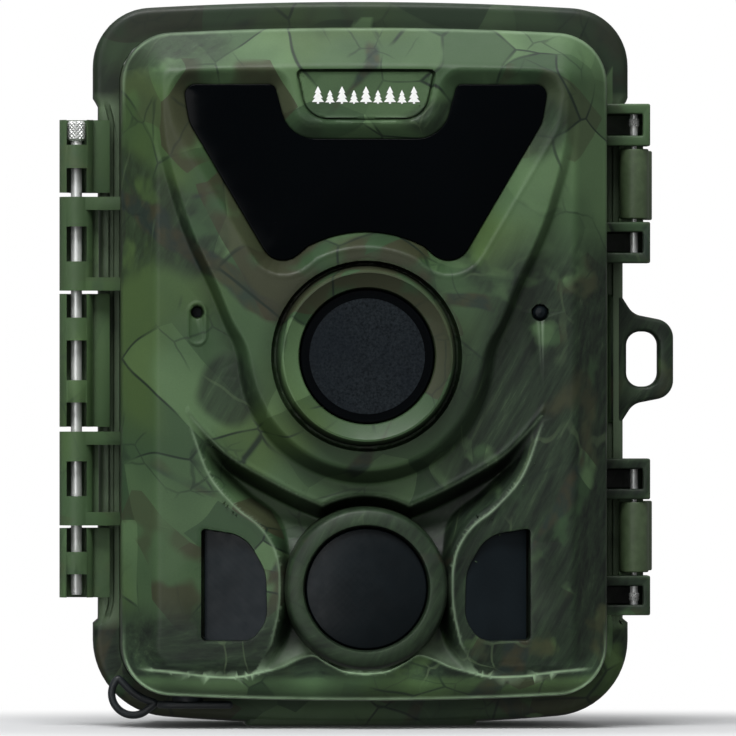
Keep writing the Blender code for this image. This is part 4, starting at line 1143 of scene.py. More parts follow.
def carved(piece, material=None, bevel=0.3, cuts=(), joins=(), segments=3):
    """The piece with others added and cut away, and its edges rounded. The others are used up."""
    for other, operation in [(o, "UNION") for o in joins] + [(o, "DIFFERENCE") for o in cuts]:
        step = piece.modifiers.new("shape", "BOOLEAN")
        step.operation = operation
        step.object = other
    if bevel:
        soften(piece, bevel, segments)
    made = baked(piece)
    for other in [*joins, *cuts]:
        bpy.data.objects.remove(other)
    made.data.materials.clear()
    if material:
        made.data.materials.append(material)
    made.data.shade_smooth()
    made.data.set_sharp_from_angle(angle=math.radians(40))
    return made


def soften(piece, width, segments=2):
    """Rounds the piece's hard edges."""
    bevel = piece.modifiers.new("round_edges", "BEVEL")
    bevel.width = width * MM
    bevel.segments = segments
    bevel.limit_method = "ANGLE"
    bevel.angle_limit = math.radians(38)
    bevel.miter_outer = "MITER_ARC"
    return bevel


def rod(name, radius, start, end, steps=48, end_radius=None):
    """A plain solid cylinder or cone, for joining and cutting."""
    start, end = np.array(start, float), np.array(end, float)
    length = float(np.linalg.norm(end - start))
    far = radius if end_radius is None else end_radius
    return turned(name, [(0, 0), (radius, 0), (far, length), (0, length)], start, None, end - start, steps)


def solid_plate(name, outline, front, back, axis="y"):
    """An outline made solid with square edges, for joining and cutting. axis is the direction it is thick in."""
    outline = np.asarray(outline, float)
    rings = []
    for depth in (front, back):
        ring = np.empty((len(outline), 3))
        places = {"x": (1, 2), "y": (0, 2), "z": (0, 1)}[axis]
        ring[:, places[0]], ring[:, places[1]] = outline[:, 0], outline[:, 1]
        ring[:, "xyz".index(axis)] = depth
        rings.append(ring)
    return loft(name, rings)


# ---------------------------------------------------------------- rear housing


WAIST_HALF, WAIST_LOW, WAIST_HIGH = 49.65, 19.5, 118.4
RING_POINTS = 560


def even(outline, count=RING_POINTS):
    """A closed outline divided into equal steps, starting where it crosses the middle of the right side."""
    ring = np.asarray(outline, float)
    start = np.argmin(np.where(ring[:, 0] > 0, np.abs(ring[:, 1] - RING_START_Z), 1e9))
    ring = np.roll(ring, -start, 0)
    middle_right = np.array([[ring[0, 0], RING_START_Z]])
    below = 1 if ring[0, 1] <= RING_START_Z else 0
    closed = np.vstack([middle_right, ring[below:], ring[:below], middle_right])
    return resample(closed, count + 1)[:-1]


def waisted(ring, over=0.8, amount=CASE_HALF - WAIST_HALF):
    """The case's outline drawn in between its hoods, and the share by which each point is drawn in."""
    z = ring[:, 1]
    inside = smoother((z - WAIST_LOW) / over) * smoother((WAIST_HIGH - z) / over)
    limit = CASE_HALF - amount * inside
    made = ring.copy()
    made[:, 0] = np.clip(ring[:, 0], -limit, limit)
    return made, inside


def inset_ring(ring, amount):
    """The outline moved inwards; amount may differ from point to point."""
    ahead = np.roll(ring, -1, 0) - np.roll(ring, 1, 0)
    out = np.stack([ahead[:, 1], -ahead[:, 0]], 1)
    out /= np.linalg.norm(out, axis=1)[:, None]
    return ring - out * np.asarray(amount)[..., None] if np.ndim(amount) else ring - out * amount


def at_depth(ring, y):
    y = np.broadcast_to(y, len(ring))
    return np.stack([ring[:, 0], y, ring[:, 1]], 1)


def rear_shell():
    """Rim, hoods, tub and cavity as one surface, from the cavity's floor out to the lip and round to the back."""
    outer = even(shield(CASE_HALF, CASE_LOW + 0.25, CASE_HIGH, 11.0, foot=(14.5, 450.0)))
    base, _ = waisted(outer)
    eased, inside = waisted(outer, over=5.0)
    cavity_lip = even(shield(42.0, 8.3, 129.3, 8.0))
    cavity_floor = even(shield(38.4, 10.4, 127.2, 7.0))
    tub_top = even(shield(45.2, 2.9, 134.1, 10.5, 300.0))
    tub_end = even(shield(44.3, 3.5, 133.5, 10.5, 300.0))
    centre = np.array([0.0, 68.8])

    rings = []
    rings.append(at_depth(centre + (cavity_floor - centre) * 0.02, 30.8))
    rings.append(at_depth(inset_ring(cavity_floor, 2.4), 30.8))
    for share in (0.3, 0.6, 0.9):
        angle = share * math.pi / 2
        bent_ring = inset_ring(cavity_floor, 2.4 - 2.4 * math.sin(angle))
        rings.append(at_depth(bent_ring, 28.4 + 2.4 * math.cos(angle)))
    rings.append(at_depth(cavity_floor, 28.0))
    rings.append(at_depth(cavity_lip, -4.2))
    rings.append(at_depth(inset_ring(cavity_lip, -0.3), -4.6))
    groove_in, groove_out = even(shield(43.6, 7.2, 129.6, 7.4)), even(shield(45.6, 5.2, 131.6, 9.3))
    rings.append(at_depth(inset_ring(groove_in, 0.2), -4.6))
    rings.append(at_depth(groove_in, -4.4))
    rings.append(at_depth(groove_in, -4.25))
    rings.append(at_depth(groove_out, -4.25))
    rings.append(at_depth(groove_out, PARTING + 0.2))
    rings.append(at_depth(inset_ring(groove_out, -0.2), PARTING))

    for inset, depth in ((3.0, 0.0), (2.75, 1.0), (2.1, 1.0), (1.85, 0.0), (1.6, 0.0)):
        rings.append(at_depth(inset_ring(eased, inset), PARTING + depth * 0.9 * inside))
    for share in np.linspace(0.1, 1.0, 7):
        angle = share * math.pi / 2
        bent_ring = inset_ring(base, 1.3 * (1 - math.sin(angle)))
        rings.append(at_depth(bent_ring, PARTING + 1.3 * (1 - math.cos(angle))))
    rings.append(at_depth(base, RIM_BACK - 1.2))
    for share in np.linspace(0.2, 1.0, 5):
        angle = share * math.pi / 2
        bent_ring = inset_ring(base, 1.2 * (1 - math.cos(angle)))
        rings.append(at_depth(bent_ring, RIM_BACK - 1.2 + 1.2 * math.sin(angle)))
    rings.append(at_depth(inset_ring(tub_top, -0.8), RIM_BACK))
    rings.append(at_depth(inset_ring(tub_top, -0.2), RIM_BACK + 0.25))
    rings.append(at_depth(tub_top, RIM_BACK + 0.8))
    rings.append(at_depth(tub_end, 26.6))
    for share in np.linspace(0.12, 1.0, 9):
        angle = share * math.pi / 2
        bent_ring = inset_ring(tub_end, 5.2 * (1 - math.cos(angle)))
        rings.append(at_depth(bent_ring, 26.8 + 6.2 * math.sin(angle)))
    rings.append(at_depth(centre + (tub_end - centre) * 0.02, TUB_BACK))
    shell = loft("rear_shell", rings, REAR_CAMO, smooth=32)
    attach(shell, "rear_body", "camo_plastic", "rear_housing")


def side_pair(x0, x1):
    """The two spans of x that mirror each other."""
    return ((-x1, -x0), (x0, x1))


def rear_fittings():
    lug = [
        (46.8, 81.6, 0.0),
        (49.2, 81.6, 0.4),
        (51.6, 77.9, 3.4),
        (59.2, 76.4, 3.6),
        (59.2, 62.4, 3.6),
        (51.6, 60.9, 3.4),
        (49.2, 57.2, 0.4),
        (46.8, 57.2, 0.0),
    ]
    hole = rounded([(56.3, 74.6, 2.6), (50.3, 74.6, 2.6), (50.3, 64.2, 2.6), (56.3, 64.2, 2.6)], 10)
    made = plate("padlock_lug", rounded(lug, 10), PARTING + 0.1, -0.1, CAMO, holes=(hole,), edge=0.8)
    attach(made, "rear_body", "camo_plastic")

    teeth = []
    rail_back = corners("rear_housing")[1][1]
    for z in (33.0, 37.5, 42.0, 96.0, 100.5, 105.0):
        teeth += [(rail_back, z - 1.3), (rail_back - 1.2, z), (rail_back, z + 1.3)]
    profile = [
        (30.5, 28.0),
        (rail_back - 2.0, 28.0),
        (rail_back, 30.0),
        *teeth,
        (rail_back, 108.0),
        (rail_back - 2.0, 110.0),
        (30.5, 110.0),
    ]
    for name, (x0, x1) in zip(("left", "right"), side_pair(14.0, 20.0)):
        rail = solid_plate(f"strap_rail_{name}", profile, x0, x1, axis="x")
        gap = block("gap", (x0 - 1, TUB_BACK + 0.4, 55.5), (x1 + 1, rail_back - 2.0, 84.5), bevel=0.6)
        attach(carved(rail, CAMO, 0.35, cuts=(gap,)), "rear_body", "camo_plastic")

    outline = rounded([(22.0, -5.8, 1.5), (22.0, 29.0, 3.0), (-22.0, 29.0, 3.0), (-22.0, -5.8, 1.5)])
    foot = solid_plate("tripod_foot", outline, 0.0, 6.0, axis="z")
    socket = rod("socket", 4.3, (0, 15, -1), (0, 15, 7.0))
    attach(carved(foot, CAMO, 0.5, cuts=(socket,)), "rear_body", "camo_plastic")


def knuckle(name, low, high, openings, arms=()):
    """A hinge barrel with moulding windows through which the pin shows. arms are blocks that join it to a side."""
    barrel = rod(name, 3.2, (HINGE_X, HINGE_Y, low), (HINGE_X, HINGE_Y, high))
    holes = [
        block("opening", (HINGE_X - 1.9, HINGE_Y - 5.0, a), (HINGE_X + 1.9, HINGE_Y + 1.8, b), bevel=0.0)
        for a, b in openings
    ]
    bore = rod("bore", 1.25, (HINGE_X, HINGE_Y, low - 1), (HINGE_X, HINGE_Y, high + 1), 32)
    return carved(barrel, CAMO, 0.3, cuts=(*holes, bore), joins=arms, segments=2)


def rear_knuckles():
    for name, low, high, openings in (
        ("top", 100.8, 114.5, ((100.0, 105.4), (109.8, 116.0))),
        ("middle", 56.6, 81.7, ((56.0, 61.2), (65.4, 72.9), (77.2, 82.5))),
        ("bottom", 24.4, 37.5, ((24.0, 28.8), (33.0, 38.0))),
    ):
        web = block("web", (HINGE_X - 1.2, HINGE_Y + 0.6, low), (-47.6, PARTING + 3.4, high), bevel=0.0)
        made = knuckle(f"rear_knuckle_{name}", low, high, openings, (web,))
        attach(made, "rear_body", "camo_plastic")


def knurled(name, centre, radius, low, high, material, teeth=14):
    """A short drum with a diamond knurl, standing upright."""
    steps, rows = teeth * 6, 36
    turn = np.linspace(0, math.tau, steps, endpoint=False)
    rings = []
    for z in np.linspace(low, high, rows):
        climb = (z - low) / radius
        left = np.abs(((turn + climb) * teeth / math.tau) % 1.0 - 0.5) * 2
        right = np.abs(((turn - climb) * teeth / math.tau) % 1.0 - 0.5) * 2
        end = min(z - low, high - z)
        r = radius - KNURL_DEPTH * (1 - np.minimum(left, right)) - max(0.0, 0.35 - end)
        rings.append(np.stack([centre[0] + r * np.cos(turn), centre[1] + r * np.sin(turn), np.full(steps, z)], 1))
    return loft(name, rings, material, smooth=25)


def hinge_rod():
    top, foot, radius = 114.0, 24.9, 1.05
    profile = [(0, top), (0.9, top), (radius, top - 0.3), (radius, foot + 0.5), (0.9, foot), (0, foot)]
    shaft = turned("shaft", profile, (HINGE_X, HINGE_Y, 0), STEEL, (0, 0, 1), 40)
    drum = knurled("drum", (HINGE_X, HINGE_Y), 1.75, 110.6, 114.3, STEEL)
    attach(joined("hinge_rod", shaft, drum), "rear_body", "steel", "hinge_pin")


def tripod_thread():
    crests = []
    for i in range(7):
        z = 0.7 + i * 0.8
        crests += [(3.25, z), (2.9, z + 0.4)]
    profile = [(3.3, 0.25), *crests, (3.2, 6.4), (4.0, 6.4), (4.0, 0.4), (3.85, 0.25), (3.3, 0.25)]
    piece = turned("tripod_thread", profile, (0, 15, 0), BRASS, (0, 0, 1), 48)
    attach(piece, "rear_body", "brass", "tripod_insert")


# ---------------------------------------------------------------- front cover's outside


def lens_parts():
    forward = (0, -1, 0)
    turret = [
        (18.2, 29.0),
        (17.0, 31.6),
        (16.6, 34.0),
        (16.35, 36.8),
        (16.2, 37.5),
        (15.95, 37.9),
        (15.6, 37.95),
        (15.3, 37.75),
        (12.95, 36.9),
        (12.75, 36.6),
        (12.65, 31.0),
        (18.2, 29.0),
    ]
    attach(turned("lens_turret", turret, (0, 0, LENS_Z), CAMO, forward, 128), "cover", "camo_plastic")
    glass = [(0, 35.1), (12.45, 35.1), (12.45, 36.1), (12.3, 36.25), (0, 36.25)]
    lens = turned("lens_cover", glass, (0, 0, LENS_Z), GLASS, forward, 96)
    attach(lens, "cover", "dark_window", "lens_window")

    bezel = [
        (15.6, 26.0),
        (15.25, 31.6),
        (15.0, 32.9),
        (14.7, 33.6),
        (14.3, 33.85),
        (12.3, 34.3),
        (11.95, 34.2),
        (11.75, 33.9),
        (11.55, 33.0),
        (11.5, 30.0),
        (15.6, 26.0),
    ]
    attach(turned("sensor_bezel", bezel, (0, 0, PIR_Z), CAMO, forward, 128), "cover", "camo_plastic")
    dome = [
        (0, 31.0),
        (11.3, 31.0),
        (11.3, 32.7),
        (11.1, 32.95),
        (9.0, 33.5),
        (6.0, 33.9),
        (3.0, 34.1),
        (0, 34.15),
    ]
    made = turned("sensor_dome", dome, (0, 0, PIR_Z), SENSOR_FILM, forward, 96)
    attach(made, "cover", "lens_film", "pir_lens_center")


def ir_glass():
    outline = inset_ring(np.array(WINDOW), -0.25)
    made = plate("infrared_window", outline, -29.55, -28.0, ACRYLIC, edge=0.15)
    attach(made, "cover", "dark_window", "ir_window")


def side_eyes():
    """The side sensors' films: bent sheets that lie deeper towards their outer edges, where a slit shows."""
    for way, name in ((-1, "left"), (1, "right")):
        outline = eye_outline(way)
        if way > 0:
            outline = outline[::-1]
        ring = resample(np.vstack([outline, outline[:1]]), 121)[:-1]
        ring[:, 0] = np.clip(ring[:, 0], -30.15, 30.15)
        centre = ring.mean(0)
        rings = []
        for share in (0.02, 0.25, 0.5, 0.75, 0.96, 1.0, 1.0):
            loop = centre + (ring - centre) * share
            side = np.abs(loop[:, 0])
            height = FACE + 1.3 - 0.05 * (side - 17.0) - eye_depth(side)
            rings.append(at_depth(loop, -height))
        rings[-1][:, 1] += 1.2
        film = loft(f"side_sensor_{name}", rings, SIDE_FILM)
        attach(film, "cover", "lens_film", f"pir_lens_{name}")


def cover_side_arms():
    for name, low, high, opening in (("upper", 82.3, 100.0, (87.8, 94.4)), ("lower", 38.0, 55.7, (43.5, 50.1))):
        arms = [
            block("arm", (HINGE_X, HINGE_Y - 2.7, z), (-44.6, COVER_BACK - 0.4, z + 2.5), bevel=0.0)
            for z in (low, high - 2.5)
        ]
        arms.append(block("web", (HINGE_X, HINGE_Y + 0.8, low), (-49.7, COVER_BACK - 0.5, high), bevel=0.0))
        made = knuckle(f"cover_knuckle_{name}", low, high, (opening,), arms)
        attach(made, "cover", "camo_plastic")


LATCHES = {"upper": (95.9, 109.1, 87.5, 117.6), "lower": (29.1, 42.4, 21.0, 50.6)}


def latch_frames():
    front, back = LATCH_Y - 3.0, LATCH_Y + 3.2
    for name, (lever_low, lever_high, low, high) in LATCHES.items():
        for end, bottom, top in (("low", low, lever_low - 0.6), ("high", lever_high + 0.5, high)):
            gap = block("gap", (46.1, front - 2, bottom + 2.0), (53.0, back - 0.8, top - 2.0), bevel=0.0)
            bore = rod("bore", 0.95, (LATCH_X, LATCH_Y, bottom - 1), (LATCH_X, LATCH_Y, top + 1), 24)
            yoke = block(f"yoke_{name}_{end}", (44.6, front, bottom), (54.4, back, top), CAMO, 0.35, cuts=(gap, bore))
            attach(yoke, "cover", "camo_plastic")
            near, far = (top, lever_low - 0.08) if end == "low" else (lever_high + 0.08, bottom)
            boss = block(f"boss_{name}_{end}", (48.6, LATCH_Y - 0.6, near - 0.1), (53.2, back, far + 0.1), CAMO, 0.1)
            attach(boss, "cover", "camo_plastic")


def latch_lever(name, low, high):
    """Barrel, arm, finger tab and hook, drawn from above."""
    barrel = arc(LATCH_X, LATCH_Y, 2.75, 150.0, 420.0, 32)
    bend = smooth_path([(53.0, -6.5), (52.5, 0.0), (52.7, 4.8), (54.4, 8.6), (56.2, 12.0)], 6)
    arm = [tuple(p) for p in bend]
    tip = [(55.9, 12.8), (55.1, 12.8)]
    back = [tuple(p) for p in smooth_path([(53.6, 10.6), (52.4, 8.9), (51.2, 8.1), (49.6, 8.1)], 4)]
    hook = [(46.0, 8.1), (45.7, 7.8), (45.7, 5.45), (48.3, 5.45), (49.4, 4.6), (49.9, 3.0)]
    front = [(50.3, -2.0), (50.0, -5.0)]
    outline = barrel + arm + tip + back + hook + front
    lever = plate_up(f"lever_{name}", outline, low, high, LATCH_PLASTIC, edge=0.3)
    return attach(lever, f"{name}_latch", "camo_latch", f"latch_lever_{name}")


def latch_rod(name, low, high, knurl_middle):
    top, foot, radius = high - 1.0, low + 1.0, 0.75
    profile = [(0, top), (0.6, top), (radius, top - 0.15), (radius, foot + 0.15), (0.6, foot), (0, foot)]
    shaft = turned("shaft", profile, (LATCH_X, LATCH_Y, 0), STEEL, (0, 0, 1), 32)
    drum = knurled("drum", (LATCH_X, LATCH_Y), 1.0, knurl_middle - 1.0, knurl_middle + 1.0, STEEL, teeth=10)
    attach(joined(f"latch_rod_{name}", shaft, drum), "cover", "steel", f"latch_pin_{name}")


def latches():
    for name, (lever_low, lever_high, low, high) in LATCHES.items():
        latch_lever(name, lever_low, lever_high)
        latch_rod(name, low, high, high - 3.5 if name == "upper" else low + 3.5)


def rubber_flap():
    """Strip, plug and pull loop of the rubber flap over the power jack."""
    jack_x, jack_y = -33.0, -14.5
    outline = rounded([
        (-24.6, jack_y - 3.8, 0.8),
        (-24.6, jack_y + 3.8, 0.8),
        (-38.8, jack_y + 3.8, 3.0),
        (-38.8, jack_y - 3.8, 3.0),
    ])
    strip = plate_up("port_strip", outline, 3.6, 4.9, RUBBER, edge=0.45)
    attach(strip, "flap", "rubber", "port_flap")
    plug = [(0, 4.4), (2.9, 4.4), (2.9, 6.6), (2.6, 7.2), (0, 7.2)]
    attach(turned("port_plug", plug, (jack_x, jack_y, 0), RUBBER, (0, 0, 1), 40), "flap", "rubber")
    outer = arc(-43.2, 6.3, 4.1, 135.0, 300.0, 28)
    under = arc(-36.7, 15.1, 10.8, 258.0, 218.0, 10)
    path = [(x, jack_y + 3.0, z) for x, z in outer + under]
    fine = resample3(path, 90)
    attach(tube("pull_loop", fine[:-1], 0.72, RUBBER, closed=True, sides=20), "flap", "rubber")


def resample3(path, count):
    """A closed 3-D polyline divided into equal steps, with its corners eased."""
    path = np.asarray(path, float)
    path = np.vstack([path, path[:1]])
    steps = np.r_[0, np.cumsum(np.linalg.norm(np.diff(path, axis=0), axis=1))]
    at = np.linspace(0, steps[-1], count)
    made = np.stack([np.interp(at, steps, path[:, i]) for i in range(3)], 1)
    core = made[:-1]
    for _ in range(3):
        core = (np.roll(core, 1, 0) + 2 * core + np.roll(core, -1, 0)) / 4
    return np.vstack([core, core[:1]])


def badge():
    """A small printed row of pines on the badge plate."""
    pieces = []
    for i in range(-4, 5):
        x, height = 2.25 * i, 3.3 - 0.7 * (i % 2)
        half = height * 0.32
        shape = [(0.0, 1.0), (0.6, 0.62), (0.32, 0.62), (0.85, 0.34), (0.5, 0.34), (1.1, 0.1), (0.2, 0.1), (0.2, 0.0)]
        tiers = [(x + half * out, height * up) for out, up in shape]
        left = [(2 * x - px, pz) for px, pz in reversed(tiers[1:])]
        outline = [(px, pz + 117.2) for px, pz in tiers + left]
        front = -float(relief(np.array([x]), np.array([118.5]))[0]) - 0.06
        pieces.append(plate(f"pine_{len(pieces)}", outline[::-1], front, front + 0.3, WHITE, edge=0.02))
    print_piece = joined("badge_print", *pieces)
    attach(print_piece, "cover", "camo_plastic")


# ---------------------------------------------------------------- building


def outside():
    rear_shell()
    rear_fittings()
    rear_knuckles()
    hinge_rod()
    tripod_thread()
    skin = cover_skin(CAMO)
    attach(skin, "cover", "camo_plastic", "front_cover")
    lens_parts()
    ir_glass()
    side_eyes()
    cover_side_arms()
    latch_frames()
    latches()
    rubber_flap()
    badge()


# ---------------------------------------------------------------- inside


def cells():
    """Eight AA cells: a steel can with its nub, a printed sleeve and a coloured band round the nub's end."""
    for number in range(1, 9):
        node = f"battery_{number}"
        low, high = corners(node)
        centre = (low + high) / 2
        up = number % 2 == 1
        foot = np.array([centre[0], centre[1], low[2] if up else high[2]])
        way = (0, 0, 1 if up else -1)
        length, radius = high[2] - low[2], (high[0] - low[0]) / 2
        end = length - 1.3
        can = [
            (0, 0.15),
            (radius - 2.2, 0.15),
            (radius - 1.8, 0.0),
            (radius - 0.6, 0.0),
            (radius - 0.2, 0.4),
            (radius - 0.2, end - 0.4),
            (radius - 0.6, end),
            (radius - 1.6, end),
            (radius - 1.9, end - 0.2),
            (2.9, end - 0.2),
            (2.75, end),
            (2.75, length - 0.25),
            (2.5, length),
            (0, length),
        ]
        attach(turned(f"cell_{number}", can, foot, STEEL, way, 48), "rear_body", "cell_can", node)
        inner = radius - 0.22
        sleeve = [
            (inner - 1.0, -0.02),
            (radius - 0.35, -0.02),
            (radius, 0.4),
            (radius, end - 13.0),
            (inner, end - 13.0),
        ]
        attach(turned(f"cell_sleeve_{number}", sleeve, foot, SLEEVE, way, 48), "rear_body", "cell_can")
        band = [
            (inner, end - 12.9),
            (radius, end - 12.9),
            (radius, end - 0.4),
            (radius - 0.4, end + 0.04),
            (inner - 1.0, end + 0.04),
        ]
        attach(turned(f"cell_band_{number}", band, foot, BAND, way, 48), "rear_body", "cell_can")


def coil(name, x, y, foot, way, height):
    """A cone-shaped contact spring on the strip it stands on."""
    turns, base_r, tip_r = 3.0, 3.3, 2.2
    path = []
    for share in np.linspace(0, 1, 64):
        radius = base_r + (tip_r - base_r) * share
        angle = math.tau * turns * share
        level = foot + way * height * share
        path.append((x + radius * math.cos(angle), y + radius * math.sin(angle), level))
    return tube(name, path, 0.36, STEEL, sides=10)


def contact_strips():
    """The fibre strips at the cells' ends with a spring for each flat end and a stud for each nub."""
    columns = [middle(f"battery_{n}")[0] for n in range(1, 5)]
    y = middle("battery_1")[1]
    for number in range(1, 5):
        node = f"contact_board_{number}"
        low, high = corners(node)
        way = 1 if number % 2 == 1 else -1
        face = (low[2] if way > 0 else high[2]) + way * CONTACT_STRIP
        ends = sorted((face - way * CONTACT_STRIP, face))
        near, far = (low[0], low[1], ends[0]), (high[0], high[1], ends[1])
        strip = block(f"contact_strip_{number}", near, far, FIBRE, 0.15)
        attach(strip, "rear_body", "circuit_board", node)
        contacts = []
        for i, x in enumerate(columns):
            if (i % 2 == 0) == (way > 0):
                contacts.append(coil(f"coil_{i}", x, y, face + way * 0.3, way, 3.0))
            else:
                stud = [(0, -0.2), (2.4, -0.2), (2.4, 0.1), (2.0, 0.4), (0, 0.45)]
                contacts.append(turned(f"stud_{i}", stud, (x, y, face), STEEL, (0, 0, way), 24))
            near, far = (x - 2.0, low[1] + 0.8, ends[0] - 0.08), (x + 2.0, y - 3.2, ends[1] + 0.08)
            contacts.append(block(f"tag_{i}", near, far, STEEL, 0.06))
        attach(joined(f"cell_contacts_{number}", *contacts), "rear_body", "steel")


def key_symbol(name, x, z, back):
    """Arrow, bars or ring printed on a key."""
    arrow = [(-1.5, -0.9), (1.5, -0.9), (0.0, 1.3)]
    turns = {"key_up": 0, "key_left": 90, "key_down": 180, "key_right": 270}
    if name in turns:
        a = math.radians(turns[name])
        outline = [(x - (u * math.cos(a) - v * math.sin(a)), z + u * math.sin(a) + v * math.cos(a)) for u, v in arrow]
        return plate(f"{name}_symbol", outline, back - 0.06, back + 0.05, WHITE, edge=0.02)
    if name == "key_menu":
        bars = []
        for i in (-1, 0, 1):
            level = z + i * 1.1
            bottom, top = level - 0.25, level + 0.25
            outline = [(x - 1.5, bottom), (x + 1.5, bottom), (x + 1.5, top), (x - 1.5, top)]
            bars.append(plate(f"bar_{i}", outline, back - 0.06, back + 0.05, WHITE, edge=0.02))
        return joined(f"{name}_symbol", *bars)
    ring = [(1.1, -0.06), (1.6, -0.06), (1.6, 0.05), (1.1, 0.05), (1.1, -0.06)]
    return turned(f"{name}_symbol", ring, (x, back, z), WHITE, (0, 1, 0), 40)


def keys():
    for name in ("key_ok", "key_up", "key_down", "key_left", "key_right", "key_menu"):
        low, high = corners(name)
        x, z = middle(name)[0], middle(name)[2]
        radius, foot, back = (high[0] - low[0]) / 2, low[1], high[1]
        tall = back - foot
        cap = [
            (0, 0),
            (radius - 0.3, 0),
            (radius - 0.3, 1.0),
            (radius, 1.2),
            (radius, tall - 0.7),
            (radius - 0.2, tall - 0.3),
            (radius - 0.6, tall - 0.06),
            (radius - 1.0, tall),
            (0, tall),
        ]
        body = f"{name}_body"
        attach(turned(f"{name}_cap", cap, (x, foot, z), RUBBER, (0, 1, 0), 48), body, "rubber", name)
        attach(key_symbol(name, x, z, back), body, "rubber")


def mode_slider():
    """The mode switch's slide plate and its ribbed knob."""
    low, high = corners("mode_switch")
    x, z = middle("mode_switch")[0], middle("mode_switch")[2]
    base = block("mode_slide", low, (high[0], low[1] + 1.2, high[2]), BLACK, 0.15)
    attach(base, "switch_slider", "black_plastic", "mode_switch")
    grooves = [
        block("groove", (x + step - 0.2, high[1] - 0.45, z - 2.0), (x + step + 0.2, high[1] + 1.0, z + 2.0), bevel=0.0)
        for step in (-0.8, 0.0, 0.8)
    ]
    knob = block("mode_knob", (x - 1.4, low[1] + 0.9, z - 1.4), (x + 1.4, high[1], z + 1.4), WHITE, 0.1, grooves)
    attach(knob, "switch_slider", "black_plastic")


NODE_MATERIALS = {
    "circuit_board": ("led_board", "sensor_board", "pir_board", "main_board"),
    "steel": ("panel_screw_", "card_socket", "usb_socket", "pir_sensor_"),
    "film": ("light_sensor", "ir_cut_filter", "microphone"),
    "silicone": ("gasket",),
    "screen": ("display_window",),
    "black": (
        "battery_tray", "inner_panel", "lens_barrel", "lens_holder",
        "lens_bezel", "lcd_module", "dc_jack", "memory_card",
    ),
}


def carried_nodes():
    """The CAD nodes that stay get a procedural material; the mouldings that show also get round edges."""
    finishes = {
        "circuit_board": CIRCUIT,
        "steel": STEEL,
        "film": SENSOR_FILM,
        "silicone": SILICONE,
        "screen": SCREEN,
        "black": BLACK,
    }
    for kind, prefixes in NODE_MATERIALS.items():
        for name, node in frame["nodes"].items():
            if name.startswith(prefixes) and not node.hide_render:
                node.data.materials.clear()
                node.data.materials.append(finishes[kind])
    for name in ("inner_panel", "battery_tray"):
        soften(frame["nodes"][name], 0.3, 2)


def inside():
    cells()
    contact_strips()
    keys()
    mode_slider()


# ---------------------------------------------------------------- floor, light and camera


def floor():
    """A pale floor that takes a contact shadow near the object and fades to the white background."""
    half = 1500
    corners_xy = [(-half, -half), (half, -half), (half, half), (-half, half)]
    piece = add("floor", [(x, y, -0.05) for x, y in corners_xy], [(0, 1, 2, 3)])
    t = Tree("floor")
    t.set("Base Color", t.mix(t.noise(t.place, 0.01, 2.0), srgb(212, 213, 215), srgb(218, 219, 220)))
    t.set("Roughness", 0.9)
    t.set("Specular IOR Level", 0.1)
    glow = t.node("ShaderNodeEmission", Strength=1.0).outputs[0]
    x, y = t.times(t.axis("X"), 0.6), t.axis("Y")
    radius = t.math("SQRT", t.plus(t.times(x, x), t.times(y, y)))
    far = t.span(radius, 45.0, 130.0, smooth=True)
    both = t.node("ShaderNodeMixShader", (far, t.shader.outputs[0], glow)).outputs[0]
    t.links.new(both, t.nodes["Material Output"].inputs[0])
    piece.data.materials.append(t.material)
    piece.visible_diffuse = False
    piece.visible_glossy = False


def soft_light(name, place, target, size, power, colour=(1.0, 1.0, 1.0)):
    light = bpy.data.lights.new(name, "AREA")
    light.shape = "RECTANGLE"
    light.size, light.size_y = size
    light.energy = power
    light.color = colour
    lamp = bpy.data.objects.new(name, light)
    lamp.location = place
    lamp.rotation_mode = "QUATERNION"
    lamp.rotation_quaternion = (Vector(target) - Vector(place)).to_track_quat("-Z", "Y")
    bpy.context.scene.collection.objects.link(lamp)
    return lamp


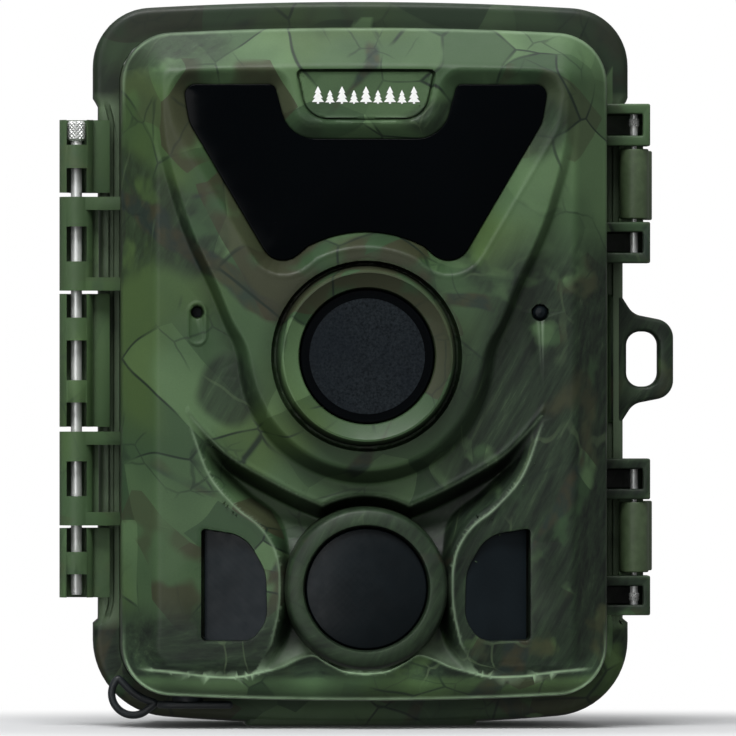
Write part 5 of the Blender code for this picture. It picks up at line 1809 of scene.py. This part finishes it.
def studio():
    """White to the camera; to the object a sky that is bright above and dim at the sides and below."""
    world = bpy.data.worlds.new("studio")
    bpy.context.scene.world = world
    world.use_nodes = True
    nodes, links = world.node_tree.nodes, world.node_tree.links
    background = nodes["Background"]
    rays = nodes.new("ShaderNodeLightPath")
    where = nodes.new("ShaderNodeTexCoord")
    split = nodes.new("ShaderNodeSeparateXYZ")
    links.new(where.outputs["Generated"], split.inputs[0])
    sky = nodes.new("ShaderNodeMapRange")
    sky.inputs["From Min"].default_value, sky.inputs["From Max"].default_value = -0.15, 0.9
    sky.inputs["To Min"].default_value, sky.inputs["To Max"].default_value = 0.2, 0.34
    links.new(split.outputs[2], sky.inputs[0])
    choose = nodes.new("ShaderNodeMix")
    choose.data_type = "FLOAT"
    links.new(rays.outputs["Is Camera Ray"], choose.inputs[0])
    links.new(sky.outputs[0], choose.inputs[2])
    choose.inputs[3].default_value = 1.0
    links.new(choose.outputs[0], background.inputs["Strength"])
    background.inputs["Color"].default_value = (1.0, 1.0, 1.0, 1.0)
    middle_point = (0, 0, 0.07)
    soft_light("overhead", (-0.14, -0.42, 0.75), middle_point, (0.5, 0.3), 6.2)
    soft_light("edge_light", (-0.05, 0.16, 0.75), middle_point, (0.6, 0.12), 1.2)
    soft_light("strip", (-0.5, -1.2, 0.12), middle_point, (0.45, 1.2), 4.0)
    soft_light("fill", (0.3, -1.3, 0.5), middle_point, (1.0, 1.0), 1.0).visible_glossy = False
    bounce = soft_light("bounce", (0.0, -0.038, 0.001), (0.0, -0.027, 0.0085), (0.1, 0.005), 0.0045)
    bounce.data.spread = math.radians(50)
    bounce.visible_camera = False
    bounce.visible_glossy = False
    bpy.context.scene.view_settings.view_transform = "Standard"


def camera():
    distance, azimuth = 2.5, math.radians(-2.2)
    seen_height = 0.13925
    aim = Vector((1.32, -6.0, 67.7)) * MM
    back = Vector((math.sin(azimuth), -math.cos(azimuth), 0.0))
    data = bpy.data.cameras.new("camera")
    data.sensor_width = 36.0
    data.lens = data.sensor_width * distance / seen_height
    data.clip_start, data.clip_end = 0.1, 50.0
    made = bpy.data.objects.new("camera", data)
    made.location = aim + back * distance
    made.rotation_mode = "QUATERNION"
    made.rotation_quaternion = (-back).to_track_quat("-Z", "Y")
    bpy.context.scene.collection.objects.link(made)
    bpy.context.scene.camera = made


outside()
inside()
carried_nodes()
floor()
studio()
camera()
